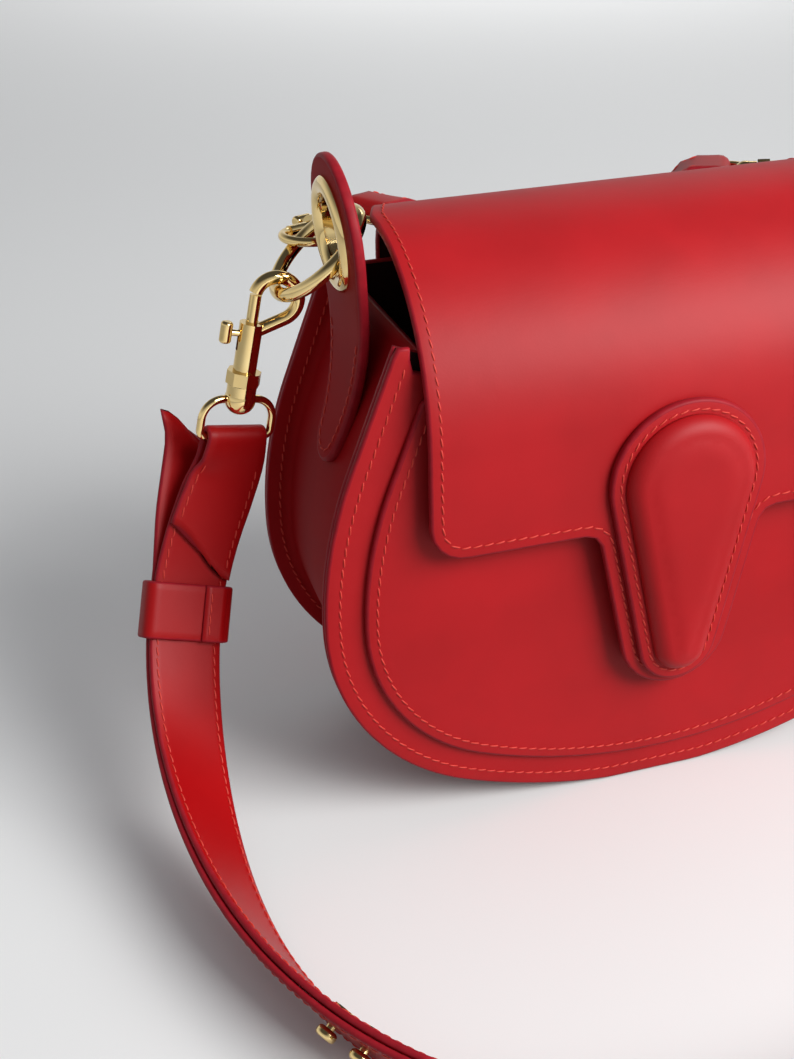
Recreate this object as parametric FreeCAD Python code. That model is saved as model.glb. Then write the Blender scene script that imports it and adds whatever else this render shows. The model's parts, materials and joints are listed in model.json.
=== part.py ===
import FreeCAD
import Part
import math
import os

Vector = FreeCAD.Vector

# Saddle handbag. Millimetres, +Z up, -Y the flap side, origin under the middle of the body.

# Body outline
bag_width = 244.0
bag_depth = 91.0
body_height = 180.0
widest_height = 84.0
base_rise = 8.0
side_radius = 150.0
side_slope_deg = 22.0
base_sink = 0.8

# Body leather
panel_thickness = 2.8
gusset_thickness = 2.2
gusset_inset = 9.0
overlay_inset = 13.0
overlay_thickness = 2.6
overlay_drop = 16.0
mouth_drop = 9.0
mouth_corner_radius = 3.0
flap_side_clearance = 2.0

# Flap
flap_side_margin = 6.5
flap_centre_y = 4.0
flap_centre_drop = 31.5
flap_outer_layer = 1.7
flap_inner_layer = 1.3
flap_hinge_deg = 35.0
flap_back_half_width = 74.0
flap_taper_start_y = 2.0
wing_length = 38.8
wing_corner_radius = 12.0
tongue_half_width = 30.1
tongue_length = 63.7
tongue_slope_deg = 12.3
tongue_root_radius = 6.0
hinge_gap = 0.3
anchor_bend_radius = 12.0
anchor_height = 30.0
anchor_corner_radius = 14.0

# Padded teardrop on the flap
drop_top_radius = 28.0
drop_tip_radius = 14.5
drop_rise = 17.0
drop_spacing = 63.2
drop_base_thickness = 3.0
pad_inset = 5.0
pad_height = 6.5
pad_edge_radius = 5.4

# Magnetic closure and inner pocket
magnet_radius = 8.0
magnet_flap_thickness = 2.2
magnet_body_thickness = 2.2
magnet_rise = 26.0
magnet_gap = 0.5
pocket_half_width = 66.0
pocket_bottom = 34.0
pocket_drop = 62.0
pocket_thickness = 1.8
pocket_corner_radius = 16.0

# Side tabs and eyelets
tab_thickness = 3.6
tab_top_radius = 25.6
tab_tip_radius = 11.0
tab_tip_z = 137.0
tab_leave_deg = 21.5
tab_bend_radius = 105.0
tab_lean_deg = 5.0
eyelet_z = 204.2
eyelet_hole_radius = 12.1
eyelet_flange_radius = 18.8
eyelet_wall = 0.8
eyelet_dome = 2.4
eyelet_rim = 0.7
eyelet_roll = 1.3
eyelet_roll_height = 0.8
washer_thickness = 1.0
washer_margin = 0.6

# Carrying rings
ring_radius = 18.5
ring_wire_radius = 2.4
ring_centre_x = 103.1
ring_centre_y = 16.0
ring_centre_z = 193.9
ring_slope_deg = 40.0

# Trigger snap hooks
bow_radius = 7.5
bow_wire_radius = 2.3
bow_offset = 7.2
bow_start_deg = 168.0
bow_end_deg = -60.0
barrel_radius = 4.0
barrel_top = 9.0
rod_radius = 2.0
rod_bore_radius = 2.06
rod_tip_gap = 0.3
rod_tail = 10.0
trigger_travel = 4.5
trigger_stem_radius = 1.1
trigger_slot_clearance = 0.15
trigger_bead_radius = 2.1
trigger_bead_length = 7.6
trigger_reach = 8.2
trigger_drop = 4.0
collar_height = 4.6
swivel_gap = 0.3
swivel_pin_radius = 1.6
swivel_pin_clearance = 0.06
swivel_pin_length = 2.6
loop_wire_radius = 1.4
strap_barrel_length = 17.0
strap_collar_radius = 6.0
strap_hook_length = 50.0
strap_loop_half_width = 13.2
strap_hook_lean_deg = 12.9
strap_loop_turn_deg = 78.0
handle_bow_radius = 9.4
handle_bow_wire_radius = 1.6
handle_barrel_length = 11.5
handle_collar_radius = 4.8
handle_hook_length = 40.0
handle_loop_half_width = 12.6
handle_hook_yaw_deg = 30.0
handle_hook_pitch_deg = -3.0
handle_hook_in_step = 2.6
handle_hook_back = 1.2
hang_gap = 0.3

# Shoulder strap
strap_width = 27.0
strap_fold_width = 22.0
strap_thickness = 2.2
strap_layer_gap = 0.35
strap_spread = 168.0
strap_reach = 212.0
strap_floor_gap = 0.3
strap_lean_deg = 29.0
strap_fold_length = 44.0
strap_short_length = 272.0
strap_merge_length = 130.0
strap_tail_spread = 15.0
strap_tail_shift = 10.0
strap_tail_cut = 8.0
strap_tail_bow_share = 1.3
strap_lead = 9.0
strap_station_step = 12.0
fold_clearance = 0.3
keeper_place = 66.0
keeper_height = 20.0
keeper_thickness = 1.8
keeper_shift = 0.4
keeper_clearance = 0.95
stud_place = 233.0
stud_spacing = 13.0
stud_post_radius = 1.5
stud_head_radius = 3.4
stud_neck = 1.2
stud_head_height = 3.2
stud_head_round = 1.3
stud_hole_clearance = 0.05
stud_back_thickness = 1.0
stud_seat_gap = 0.25

# Top handle
handle_width = 20.0
handle_thickness = 3.0
handle_drop = 96.0
handle_back_y = 68.0
handle_fold_length = 30.0
handle_lead = 9.0

cut_overrun = 20.0

# Route of half the shoulder strap: shares of spread, reach and hook height, from the hook to the middle
strap_route_shares = [(0.868, -0.073, 0.800), (0.952, -0.019, 0.526), (0.994, 0.108, 0.230),
                      (0.985, 0.340, 0.045), (0.899, 0.604, 0.0), (0.667, 0.849, 0.0), (0.340, 0.965, 0.0)]
# Route of half the handle: shares of its half span, its way back and its drop
handle_route_shares = [(0.70, 0.70, 0.16), (0.60, 0.90, 0.46), (0.45, 1.0, 0.77), (0.24, 1.0, 0.95)]

half_width = bag_width / 2
corner_radius = widest_height - base_rise
overlay_top = body_height - overlay_drop
flap_centre_z = body_height - flap_centre_drop
anchor_bottom = body_height - anchor_height
wing_edge_z = flap_centre_z - wing_length
tongue_tip_z = wing_edge_z - tongue_length
drop_top_z = wing_edge_z + drop_rise
drop_tip_z = drop_top_z - drop_spacing
magnet_z = tongue_tip_z + magnet_rise
pocket_top = body_height - pocket_drop
half_depth = bag_depth / 2
front_face_y = -half_depth
back_face_y = half_depth
inner_front_y = front_face_y + panel_thickness
inner_back_y = back_face_y - panel_thickness
flap_thickness = flap_outer_layer + flap_inner_layer
magnet_room = magnet_body_thickness + magnet_gap + magnet_flap_thickness
flap_front_y = front_face_y - overlay_thickness - magnet_room - flap_thickness
flap_radius = flap_centre_y - flap_front_y


def sine(degrees):
    return math.sin(math.radians(degrees))


def cosine(degrees):
    return math.cos(math.radians(degrees))


def tangent(degrees):
    return math.tan(math.radians(degrees))


# Flat outlines are lists of (u, v) steps, set into a plane by a function that places u and v.
def in_xz(y):
    return lambda u, v: Vector(u, y, v)


def in_yz(x):
    return lambda u, v: Vector(x, u, v)


def in_xy(z):
    return lambda u, v: Vector(u, v, z)


def line_edge(place, start, end):
    return Part.makeLine(place(*start), place(*end))


def arc_edge(place, centre, radius, start_deg, end_deg):
    def at(degrees):
        return place(centre[0] + radius * cosine(degrees), centre[1] + radius * sine(degrees))
    return Part.Arc(at(start_deg), at((start_deg + end_deg) / 2), at(end_deg)).toShape()


def face_of(edges):
    return Part.Face(Part.Wire(Part.__sortEdges__(edges)))


def rounded_face(corners, place):
    # Closed outline of (u, v, radius) corners, each rounded by its own radius.
    count = len(corners)
    rounds = []
    for index in range(count):
        u, v, radius = corners[index]
        here = Vector(u, v, 0)
        before = Vector(*corners[index - 1][:2], 0) - here
        after = Vector(*corners[(index + 1) % count][:2], 0) - here
        before.normalize()
        after.normalize()
        half_angle = before.getAngle(after) / 2
        reach = radius / math.tan(half_angle)
        middle = before + after
        middle.normalize()
        depth = radius / math.sin(half_angle) - radius
        rounds.append((here + before * reach, here + middle * depth, here + after * reach, radius))
    edges = []
    for index in range(count):
        start, middle, end, radius = rounds[index]
        if radius > 0:
            through = [place(corner.x, corner.y) for corner in (start, middle, end)]
            edges.append(Part.Arc(*through).toShape())
        following = rounds[(index + 1) % count][0]
        if end.distanceToPoint(following) > panel_thickness / bag_width * panel_thickness:
            edges.append(line_edge(place, (end.x, end.y), (following.x, following.y)))
        else:
            rounds[(index + 1) % count] = (end,) + rounds[(index + 1) % count][1:]
    return face_of(edges)


def two_circle_face(place, big_radius, big_v, small_radius, small_v):
    # Outline of two circles on the v axis, the big one above, joined by their tangents.
    slope = math.degrees(math.asin((big_radius - small_radius) / (big_v - small_v)))
    big_side = (big_radius * cosine(slope), big_v - big_radius * sine(slope))
    small_side = (small_radius * cosine(slope), small_v - small_radius * sine(slope))
    return face_of([
        arc_edge(place, (0, big_v), big_radius, -slope, 180 + slope),
        line_edge(place, (-big_side[0], big_side[1]), (-small_side[0], small_side[1])),
        arc_edge(place, (0, small_v), small_radius, 180 + slope, 360 - slope),
        line_edge(place, small_side, big_side)])


def mirrored(shape):
    return shape.mirror(Vector(0, 0, 0), Vector(1, 0, 0))


def export(node, shape):
    solids = shape.Solids
    whole = solids[0] if len(solids) == 1 else Part.makeCompound(solids)
    if not whole.isValid() or not solids:
        raise ValueError(node + " is not a sound solid")
    whole.exportStep("parts/" + node + ".step")
    print(node, len(solids), "solid(s)", round(whole.Volume), "mm3", len(whole.Faces), "faces")


def export_pair(node, left_shape):
    export(node + "_left", left_shape)
    export(node + "_right", mirrored(left_shape))


# Pear outline of the body
corner_centre_x = half_width - corner_radius
bottom_radius = ((corner_centre_x ** 2 + (widest_height + base_sink) ** 2 - corner_radius ** 2)
                 / (2 * (widest_height + base_sink - corner_radius)))
bottom_centre_z = bottom_radius - base_sink
side_centre_x = half_width - side_radius
bottom_join_deg = math.degrees(math.atan2(bottom_centre_z - widest_height, corner_centre_x))


def side_line_x(height, inset):
    # Half width on the straight upper side at a height.
    bend_z = widest_height + (side_radius - inset) * sine(side_slope_deg)
    bend_x = side_centre_x + (side_radius - inset) * cosine(side_slope_deg)
    return bend_x - (height - bend_z) * tangent(side_slope_deg)


flap_half_width = side_line_x(body_height, 0) - flap_side_margin


def pear_face(inset, top, y):
    place = in_xz(y)
    low_radius = bottom_radius - inset
    top_x = side_line_x(top, inset)
    bend = (side_centre_x + (side_radius - inset) * cosine(side_slope_deg),
            widest_height + (side_radius - inset) * sine(side_slope_deg))
    side_centre = (side_centre_x, widest_height)
    corner_centre = (corner_centre_x, widest_height)
    bottom_centre = (0, bottom_centre_z)
    right = [line_edge(place, (top_x, top), bend),
             arc_edge(place, side_centre, side_radius - inset, side_slope_deg, 0),
             arc_edge(place, corner_centre, corner_radius - inset, 0, -bottom_join_deg)]
    if inset < base_sink:
        flat_deg = math.degrees(math.asin((bottom_centre_z) / low_radius))
        flat_x = low_radius * cosine(flat_deg)
        right.append(arc_edge(place, bottom_centre, low_radius, -bottom_join_deg, -flat_deg))
        middle = [line_edge(place, (flat_x, 0), (-flat_x, 0))]
    else:
        middle = [arc_edge(place, bottom_centre, low_radius, -bottom_join_deg, bottom_join_deg - 180)]
    left = [mirrored(edge) for edge in right]
    return face_of(right + middle + left + [line_edge(place, (-top_x, top), (top_x, top))])


def body_panels():
    along_y = Vector(0, 1, 0)
    outline = pear_face(0, body_height, front_face_y)
    mouth_half = flap_half_width + flap_side_clearance
    mouth_z = body_height - mouth_drop
    mouth_top = body_height + cut_overrun
    mouth = rounded_face([(-mouth_half, mouth_top, 0), (-mouth_half, mouth_z, mouth_corner_radius),
                          (mouth_half, mouth_z, mouth_corner_radius), (mouth_half, mouth_top, 0)],
                         in_xz(front_face_y))
    front = outline.extrude(along_y * panel_thickness)
    export("front_panel", front.cut(mouth.extrude(along_y * panel_thickness)))
    export("back_panel", pear_face(0, body_height, inner_back_y).extrude(along_y * panel_thickness))
    overlay = pear_face(overlay_inset, overlay_top, front_face_y - overlay_thickness)
    export("front_overlay", overlay.extrude(along_y * overlay_thickness))

    span = inner_back_y - inner_front_y
    hollow = pear_face(gusset_inset + gusset_thickness, body_height, inner_front_y).extrude(along_y * span)
    wall = pear_face(gusset_inset, body_height, inner_front_y).extrude(along_y * span)
    flange_front = pear_face(0, body_height, inner_front_y).extrude(along_y * gusset_thickness)
    flange_back = flange_front.translated(along_y * (span - gusset_thickness))
    export("gusset", wall.fuse([flange_front, flange_back]).cut(hollow).removeSplitter())

    pocket = rounded_face([(-pocket_half_width, pocket_top, 0),
                           (-pocket_half_width, pocket_bottom, pocket_corner_radius),
                           (pocket_half_width, pocket_bottom, pocket_corner_radius),
                           (pocket_half_width, pocket_top, 0)],
                          in_xz(inner_back_y - pocket_thickness))
    export("inner_pocket", pocket.extrude(along_y * pocket_thickness))


# Flap: an arch from the hinge line over the top, then straight down the front
def flap_strip(outer_radius, inner_radius):
    place = in_yz(-flap_half_width)
    centre = (flap_centre_y, flap_centre_z)
    hinge_deg = 90 - flap_hinge_deg
    foot_z = tongue_tip_z - cut_overrun

    def at(radius):
        return (flap_centre_y + radius * cosine(hinge_deg), flap_centre_z + radius * sine(hinge_deg))

    outer_y = flap_centre_y - outer_radius
    inner_y = flap_centre_y - inner_radius
    strip = face_of([
        arc_edge(place, centre, outer_radius, hinge_deg, 180),
        line_edge(place, (outer_y, flap_centre_z), (outer_y, foot_z)),
        line_edge(place, (outer_y, foot_z), (inner_y, foot_z)),
        line_edge(place, (inner_y, foot_z), (inner_y, flap_centre_z)),
        arc_edge(place, centre, inner_radius, 180, hinge_deg),
        line_edge(place, at(inner_radius), at(outer_radius))])
    return strip.extrude(Vector(2 * flap_half_width, 0, 0))


def flap_front_cutter():
    top = flap_centre_z + flap_radius + cut_overrun
    tip_half = tongue_half_width - (wing_edge_z - tongue_tip_z) * tangent(tongue_slope_deg)
    tip_radius = tip_half / math.tan(math.radians(90 - tongue_slope_deg) / 2)
    half = [(tip_half, tongue_tip_z, tip_radius), (tongue_half_width, wing_edge_z, tongue_root_radius),
            (flap_half_width, wing_edge_z, wing_corner_radius), (flap_half_width, top, 0)]
    corners = half + [(-x, z, radius) for x, z, radius in reversed(half)]
    front_y = flap_centre_y - flap_radius - cut_overrun
    outline = rounded_face(corners, in_xz(front_y))
    return outline.extrude(Vector(0, bag_depth + 3 * cut_overrun, 0))


def flap_plan_cutter():
    # The flap and its anchor draw in towards the back.
    front_y = flap_centre_y - flap_radius - cut_overrun
    back_y = back_face_y + cut_overrun
    half = [(flap_half_width, front_y, 0), (flap_half_width, flap_taper_start_y, 0),
            (flap_back_half_width, back_face_y, 0), (flap_back_half_width, back_y, 0)]
    corners = half + [(-x, y, radius) for x, y, radius in reversed(half)]
    return rounded_face(corners, in_xy(0)).extrude(Vector(0, 0, flap_centre_z + flap_radius + cut_overrun))


def flap_anchor(plan):
    # Fixed end of the flap leather: round the back shoulder and down the back panel.
    mid_radius = flap_radius - flap_thickness / 2
    wall_y = back_face_y + flap_thickness / 2
    bend_reach = wall_y - anchor_bend_radius - flap_centre_y
    bend_deg = math.degrees(math.acos(bend_reach / (mid_radius - anchor_bend_radius)))
    start_deg = 90 - flap_hinge_deg - math.degrees((flap_thickness / 2 + hinge_gap) / mid_radius)
    centre = (flap_centre_y, flap_centre_z)
    bend_centre = (flap_centre_y + bend_reach,
                   flap_centre_z + (mid_radius - anchor_bend_radius) * sine(bend_deg))
    place = in_yz(-flap_half_width)

    def side(offset):
        wall = wall_y + offset
        return [arc_edge(place, centre, mid_radius + offset, start_deg, bend_deg),
                arc_edge(place, bend_centre, anchor_bend_radius + offset, bend_deg, 0),
                line_edge(place, (wall, bend_centre[1]), (wall, anchor_bottom))]

    def at(offset):
        radius = mid_radius + offset
        return (flap_centre_y + radius * cosine(start_deg), flap_centre_z + radius * sine(start_deg))

    half = flap_thickness / 2
    ends = [line_edge(place, at(-half), at(half)),
            line_edge(place, (wall_y - half, anchor_bottom), (wall_y + half, anchor_bottom))]
    strip = face_of(side(half) + side(-half) + ends).extrude(Vector(2 * flap_half_width, 0, 0))
    top = flap_centre_z + flap_radius
    lower = rounded_face([(-flap_back_half_width, anchor_bottom, anchor_corner_radius),
                          (flap_back_half_width, anchor_bottom, anchor_corner_radius),
                          (flap_half_width, top, 0), (-flap_half_width, top, 0)], in_xz(0))
    return strip.common(plan).common(lower.extrude(Vector(0, bag_depth, 0)))


def flap_pieces():
    plan = flap_plan_cutter()
    front = flap_front_cutter()
    lining_radius = flap_radius - flap_outer_layer
    export("flap", flap_strip(flap_radius, lining_radius).common(front).common(plan))
    lining = flap_strip(lining_radius, flap_radius - flap_thickness)
    export("flap_lining", lining.common(front).common(plan))
    export("flap_anchor", flap_anchor(plan))

    outward = Vector(0, -1, 0)
    drop = two_circle_face(in_xz(flap_front_y), drop_top_radius, drop_top_z, drop_tip_radius, drop_tip_z)
    export("teardrop_base", drop.extrude(outward * drop_base_thickness))
    pad_y = flap_front_y - drop_base_thickness
    pad = two_circle_face(in_xz(pad_y), drop_top_radius - pad_inset, drop_top_z,
                          drop_tip_radius - pad_inset, drop_tip_z).extrude(outward * pad_height)
    crown = [edge for edge in pad.Edges if edge.BoundBox.YMax - pad.BoundBox.YMin < hinge_gap]
    export("teardrop_pad", pad.makeFillet(pad_edge_radius, crown))

    lining_y = flap_front_y + flap_thickness
    export("tongue_magnet", Part.makeCylinder(magnet_radius, magnet_flap_thickness,
                                              Vector(0, lining_y, magnet_z), Vector(0, 1, 0)))
    overlay_y = front_face_y - overlay_thickness
    export("body_magnet", Part.makeCylinder(magnet_radius, magnet_body_thickness,
                                            Vector(0, overlay_y, magnet_z), outward))


# Side tab: follows the gusset at its foot, then bends upright and leans out at the eyelet
tab_foot_radius = side_radius - gusset_inset + tab_thickness / 2
tab_foot_centre = (-side_centre_x, widest_height)
tab_bend_centre = (tab_foot_centre[0] - (tab_foot_radius + tab_bend_radius) * cosine(tab_leave_deg),
                   tab_foot_centre[1] + (tab_foot_radius + tab_bend_radius) * sine(tab_leave_deg))
tab_straight = (tab_bend_centre[0] + tab_bend_radius * cosine(tab_lean_deg),
                tab_bend_centre[1] + tab_bend_radius * sine(tab_lean_deg))
eyelet_x = tab_straight[0] - (eyelet_z - tab_straight[1]) * tangent(tab_lean_deg)
eyelet_centre = Vector(eyelet_x, 0, eyelet_z)
eyelet_axis = Vector(-cosine(tab_lean_deg), 0, -sine(tab_lean_deg))
barrel_outer = eyelet_hole_radius + eyelet_wall


def tab_left():
    place = in_xz(-tab_top_radius - cut_overrun)
    half = tab_thickness / 2
    foot_z = tab_tip_z - tab_tip_radius - cut_overrun
    top_z = eyelet_z + tab_top_radius + cut_overrun

    def side(offset):
        foot_deg = math.degrees(math.asin((foot_z - widest_height) / (tab_foot_radius + offset)))
        bend = tab_bend_radius - offset
        start = (tab_bend_centre[0] + bend * cosine(tab_lean_deg),
                 tab_bend_centre[1] + bend * sine(tab_lean_deg))
        end = (start[0] - (top_z - start[1]) * tangent(tab_lean_deg), top_z)
        foot = (tab_foot_centre[0] - (tab_foot_radius + offset) * cosine(foot_deg), foot_z)
        low = tab_foot_radius + offset
        edges = [arc_edge(place, tab_foot_centre, low, 180 - foot_deg, 180 - tab_leave_deg),
                 arc_edge(place, tab_bend_centre, bend, -tab_leave_deg, tab_lean_deg),
                 line_edge(place, start, end)]
        return edges, foot, end

    outer, outer_foot, outer_end = side(half)
    inner, inner_foot, inner_end = side(-half)
    ends = [line_edge(place, outer_foot, inner_foot), line_edge(place, outer_end, inner_end)]
    sheet = face_of(outer + inner + ends).extrude(Vector(0, 2 * (tab_top_radius + cut_overrun), 0))
    outline = two_circle_face(in_yz(-half_width - cut_overrun), tab_top_radius, eyelet_z,
                              tab_tip_radius, tab_tip_z)
    reach = eyelet_axis * cut_overrun
    hole = rod_solid(barrel_outer, eyelet_centre - reach, eyelet_centre + reach)
    return sheet.common(outline.extrude(Vector(half_width, 0, 0))).cut(hole)


def turned(profile, centre, axis):
    # Revolves a closed profile of (radius, height) edges about an axis through a centre.
    solid = face_of(profile).revolve(Vector(0, 0, 0), Vector(0, 0, 1), 360)
    solid.Placement = FreeCAD.Placement(centre, FreeCAD.Rotation(Vector(0, 0, 1), axis))
    return solid


def eyelet_pieces():
    place = in_xz(0)
    face = tab_thickness / 2
    back = -face - washer_thickness
    crest = ((eyelet_hole_radius + eyelet_flange_radius) / 2, face + eyelet_dome)
    rim = (eyelet_flange_radius, face + eyelet_rim)
    mouth = (eyelet_hole_radius, face)
    dome = Part.Arc(place(*rim), place(*crest), place(*mouth)).toShape()
    roll = back - eyelet_roll_height
    corners = [mouth, (eyelet_hole_radius, roll), (barrel_outer + eyelet_roll, roll),
               (barrel_outer + eyelet_roll, back), (barrel_outer, back), (barrel_outer, face),
               (eyelet_flange_radius, face), rim]
    edges = [dome] + [line_edge(place, start, end) for start, end in zip(corners, corners[1:])]
    export_pair("eyelet", turned(edges, eyelet_centre, eyelet_axis))
    washer_radius = eyelet_flange_radius - washer_margin
    square = [(barrel_outer, back), (washer_radius, back), (washer_radius, -face), (barrel_outer, -face)]
    edges = [line_edge(place, square[index - 1], square[index]) for index in range(len(square))]
    export_pair("eyelet_washer", turned(edges, eyelet_centre, eyelet_axis))


# Rings: each threads its eyelet and passes round the tab's back edge
ring_down = Vector(-cosine(ring_slope_deg), 0, -sine(ring_slope_deg))
ring_centre = Vector(-ring_centre_x, ring_centre_y, ring_centre_z)
ring_end = ring_centre + ring_down * ring_radius
ring_back = ring_centre + Vector(0, ring_radius, 0)


def ring_left():
    return Part.makeTorus(ring_radius, ring_wire_radius, ring_centre, ring_down.cross(Vector(0, 1, 0)))


# Snap hooks are made upright: Z along the barrel, X towards the bow, the bow's centre at height zero
def rod_solid(radius, start, end):
    return Part.makeCylinder(radius, (end - start).Length, start, end - start)


def rounded_rod(radius, start, end, rounding):
    rod = rod_solid(radius, start, end)
    return rod.makeFillet(rounding, [edge for edge in rod.Edges if edge.isClosed()])


def hook_body(bow, wire, offset, barrel_length, collar_radius):
    centre = Vector(offset, 0, 0)

    def at(degrees):
        return centre + Vector(cosine(degrees), 0, sine(degrees)) * bow

    section = Part.Face(Part.Wire(Part.makeCircle(wire, at(bow_start_deg), Vector(-sine(bow_start_deg), 0,
                                                                                 cosine(bow_start_deg)))))
    curve = section.revolve(centre, Vector(0, 1, 0), bow_start_deg - bow_end_deg)
    arm_start = at(bow_end_deg)
    arm_way = Vector(sine(bow_end_deg), 0, -cosine(bow_end_deg))
    arm_end = arm_start + arm_way * (arm_start.x / -arm_way.x)
    barrel_bottom = -barrel_top - barrel_length
    barrel = rod_solid(barrel_radius, Vector(0, 0, barrel_bottom), Vector(0, 0, -barrel_top))
    arm = rod_solid(wire, arm_start, arm_end)
    sides = 8
    corners = [Vector(cosine(360 * side / sides), sine(360 * side / sides), 0) * collar_radius
               + Vector(0, 0, barrel_bottom) for side in range(sides + 1)]
    collar = Part.Face(Part.makePolygon(corners)).extrude(Vector(0, 0, -collar_height))
    bore_floor = rod_floor(barrel_length) - trigger_travel - rod_tip_gap
    bore = rod_solid(rod_bore_radius, Vector(0, 0, bore_floor), Vector(0, 0, 0))
    collar_bottom = barrel_bottom - collar_height
    pin_hole = rod_solid(swivel_pin_radius + swivel_pin_clearance, Vector(0, 0, collar_bottom),
                         Vector(0, 0, collar_bottom + swivel_pin_length + swivel_gap))
    slot_half = trigger_stem_radius + trigger_slot_clearance
    slot_depth = barrel_radius + cut_overrun
    slot_z = trigger_z() - trigger_travel - slot_half
    slot = Part.makeBox(slot_depth, 2 * slot_half, trigger_travel + 2 * slot_half,
                        Vector(-slot_depth, -slot_half, slot_z))
    whole = curve.fuse([arm, barrel, collar])
    return whole.cut(bore).cut(pin_hole).cut(slot).removeSplitter()


def trigger_z():
    return -barrel_top - trigger_drop


def rod_floor(barrel_length):
    return -barrel_top - min(rod_tail, barrel_length - trigger_travel - 2 * rod_tip_gap)


def hook_plunger(bow, wire, offset, barrel_length):
    tip_z = bow * sine(bow_start_deg) - wire * sine(180 - bow_start_deg) - rod_tip_gap
    rod = rod_solid(rod_radius, Vector(0, 0, rod_floor(barrel_length)), Vector(0, 0, tip_z))
    stem_z = trigger_z()
    stem = rod_solid(trigger_stem_radius, Vector(0, 0, stem_z), Vector(-trigger_reach, 0, stem_z))
    half_bead = trigger_bead_length / 2
    bead = rounded_rod(trigger_bead_radius, Vector(-trigger_reach, 0, stem_z - half_bead),
                       Vector(-trigger_reach, 0, stem_z + half_bead), trigger_stem_radius)
    return rod.fuse([stem, bead]).removeSplitter()


def hook_loop(barrel_length, collar_radius, hook_length, half_loop):
    top = -barrel_top - barrel_length - collar_height - swivel_gap
    low = Vector(0, 0, top - collar_radius)
    pin = rod_solid(swivel_pin_radius, low, Vector(0, 0, top + swivel_pin_length))
    shoulder = top - collar_radius * base_round_share
    base = Part.makeSphere(collar_radius * base_round_share, Vector(0, 0, shoulder))
    cap = rod_solid(collar_radius * base_neck_share, low, Vector(0, 0, top))
    corner = half_loop * loop_corner_share
    foot_corner = half_loop * loop_foot_share
    outline = rounded_face([(-half_loop, shoulder, corner), (-half_loop, -hook_length, foot_corner),
                            (half_loop, -hook_length, foot_corner), (half_loop, shoulder, corner)],
                           in_yz(0))
    path = outline.OuterWire
    first = path.OrderedEdges[0]
    start = first.valueAt(first.FirstParameter)
    section = Part.Wire(Part.makeCircle(loop_wire_radius, start, first.tangentAt(first.FirstParameter)))
    wire = path.makePipeShell([section], True, True)
    return wire.fuse([base, cap, pin]).removeSplitter()


base_round_share = 0.9
base_neck_share = 0.85
loop_corner_share = 0.55
loop_foot_share = 0.2


def hook_frame(origin, up, towards_bow):
    side = up.cross(towards_bow)
    matrix = FreeCAD.Matrix(towards_bow.x, side.x, up.x, origin.x, towards_bow.y, side.y, up.y, origin.y,
                            towards_bow.z, side.z, up.z, origin.z, 0, 0, 0, 1)
    return FreeCAD.Placement(matrix)


strap_hook_up = Vector(sine(strap_hook_lean_deg), 0, cosine(strap_hook_lean_deg))
strap_hook_in = Vector(cosine(strap_hook_lean_deg), 0, -sine(strap_hook_lean_deg))
strap_eye = ring_end - strap_hook_up * (bow_radius - bow_wire_radius - ring_wire_radius - hang_gap)
strap_hook_place = hook_frame(strap_eye - strap_hook_in * bow_offset, strap_hook_up, strap_hook_in)
strap_hook_side = strap_hook_up.cross(strap_hook_in)
strap_loop_sine = sine(strap_loop_turn_deg)
strap_loop_cosine = cosine(strap_loop_turn_deg)
strap_loop_across = strap_hook_in * -strap_loop_sine - strap_hook_side * strap_loop_cosine
strap_loop_face = strap_hook_side * strap_loop_sine - strap_hook_in * strap_loop_cosine

handle_hook_level = Vector(-cosine(handle_hook_yaw_deg), -sine(handle_hook_yaw_deg), 0)
handle_hook_up = (handle_hook_level * cosine(handle_hook_pitch_deg)
                  - Vector(0, 0, sine(handle_hook_pitch_deg)))
handle_hook_in = Vector(sine(handle_hook_yaw_deg), -cosine(handle_hook_yaw_deg), 0)
handle_eye = ring_back + Vector(handle_hook_in_step, handle_hook_back, 0)
handle_offset = bow_offset + handle_bow_radius - bow_radius
handle_hook_place = hook_frame(handle_eye - handle_hook_in * handle_offset, handle_hook_up, handle_hook_in)


def placed(shape, placement):
    shape.Placement = placement.multiply(shape.Placement)
    return shape


def swivelled(degrees):
    return FreeCAD.Placement(Vector(0, 0, 0), FreeCAD.Rotation(Vector(0, 0, 1), degrees))


def hook_pieces():
    strap_size = (bow_radius, bow_wire_radius, bow_offset, strap_barrel_length)
    handle_size = (handle_bow_radius, handle_bow_wire_radius, handle_offset, handle_barrel_length)
    export_pair("strap_hook", placed(hook_body(*strap_size, strap_collar_radius), strap_hook_place))
    export_pair("strap_plunger", placed(hook_plunger(*strap_size), strap_hook_place))
    strap_loop = hook_loop(strap_barrel_length, strap_collar_radius, strap_hook_length,
                           strap_loop_half_width)
    export_pair("strap_loop", placed(placed(strap_loop, swivelled(-strap_loop_turn_deg)), strap_hook_place))
    export_pair("handle_hook", placed(hook_body(*handle_size, handle_collar_radius), handle_hook_place))
    export_pair("handle_plunger", placed(hook_plunger(*handle_size), handle_hook_place))
    handle_loop = hook_loop(handle_barrel_length, handle_collar_radius, handle_hook_length,
                            handle_loop_half_width)
    export_pair("handle_loop", placed(placed(handle_loop, swivelled(90)), handle_hook_place))


# Straps: flat bands lofted through stations, each a place, a width direction, a face direction and a width
def band(stations, thickness):
    wires = []
    for place, across, face, width, cut in stations:
        along = across.cross(face)
        corners = []
        for side, layer in ((-1, -1), (1, -1), (1, 1), (-1, 1)):
            corner = across * (side * width / 2) + face * (layer * thickness / 2) + along * (side * cut)
            corners.append(place + corner)
        wires.append(Part.makePolygon(corners + corners[:1]))
    return Part.makeLoft(wires, True, True)


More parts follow.
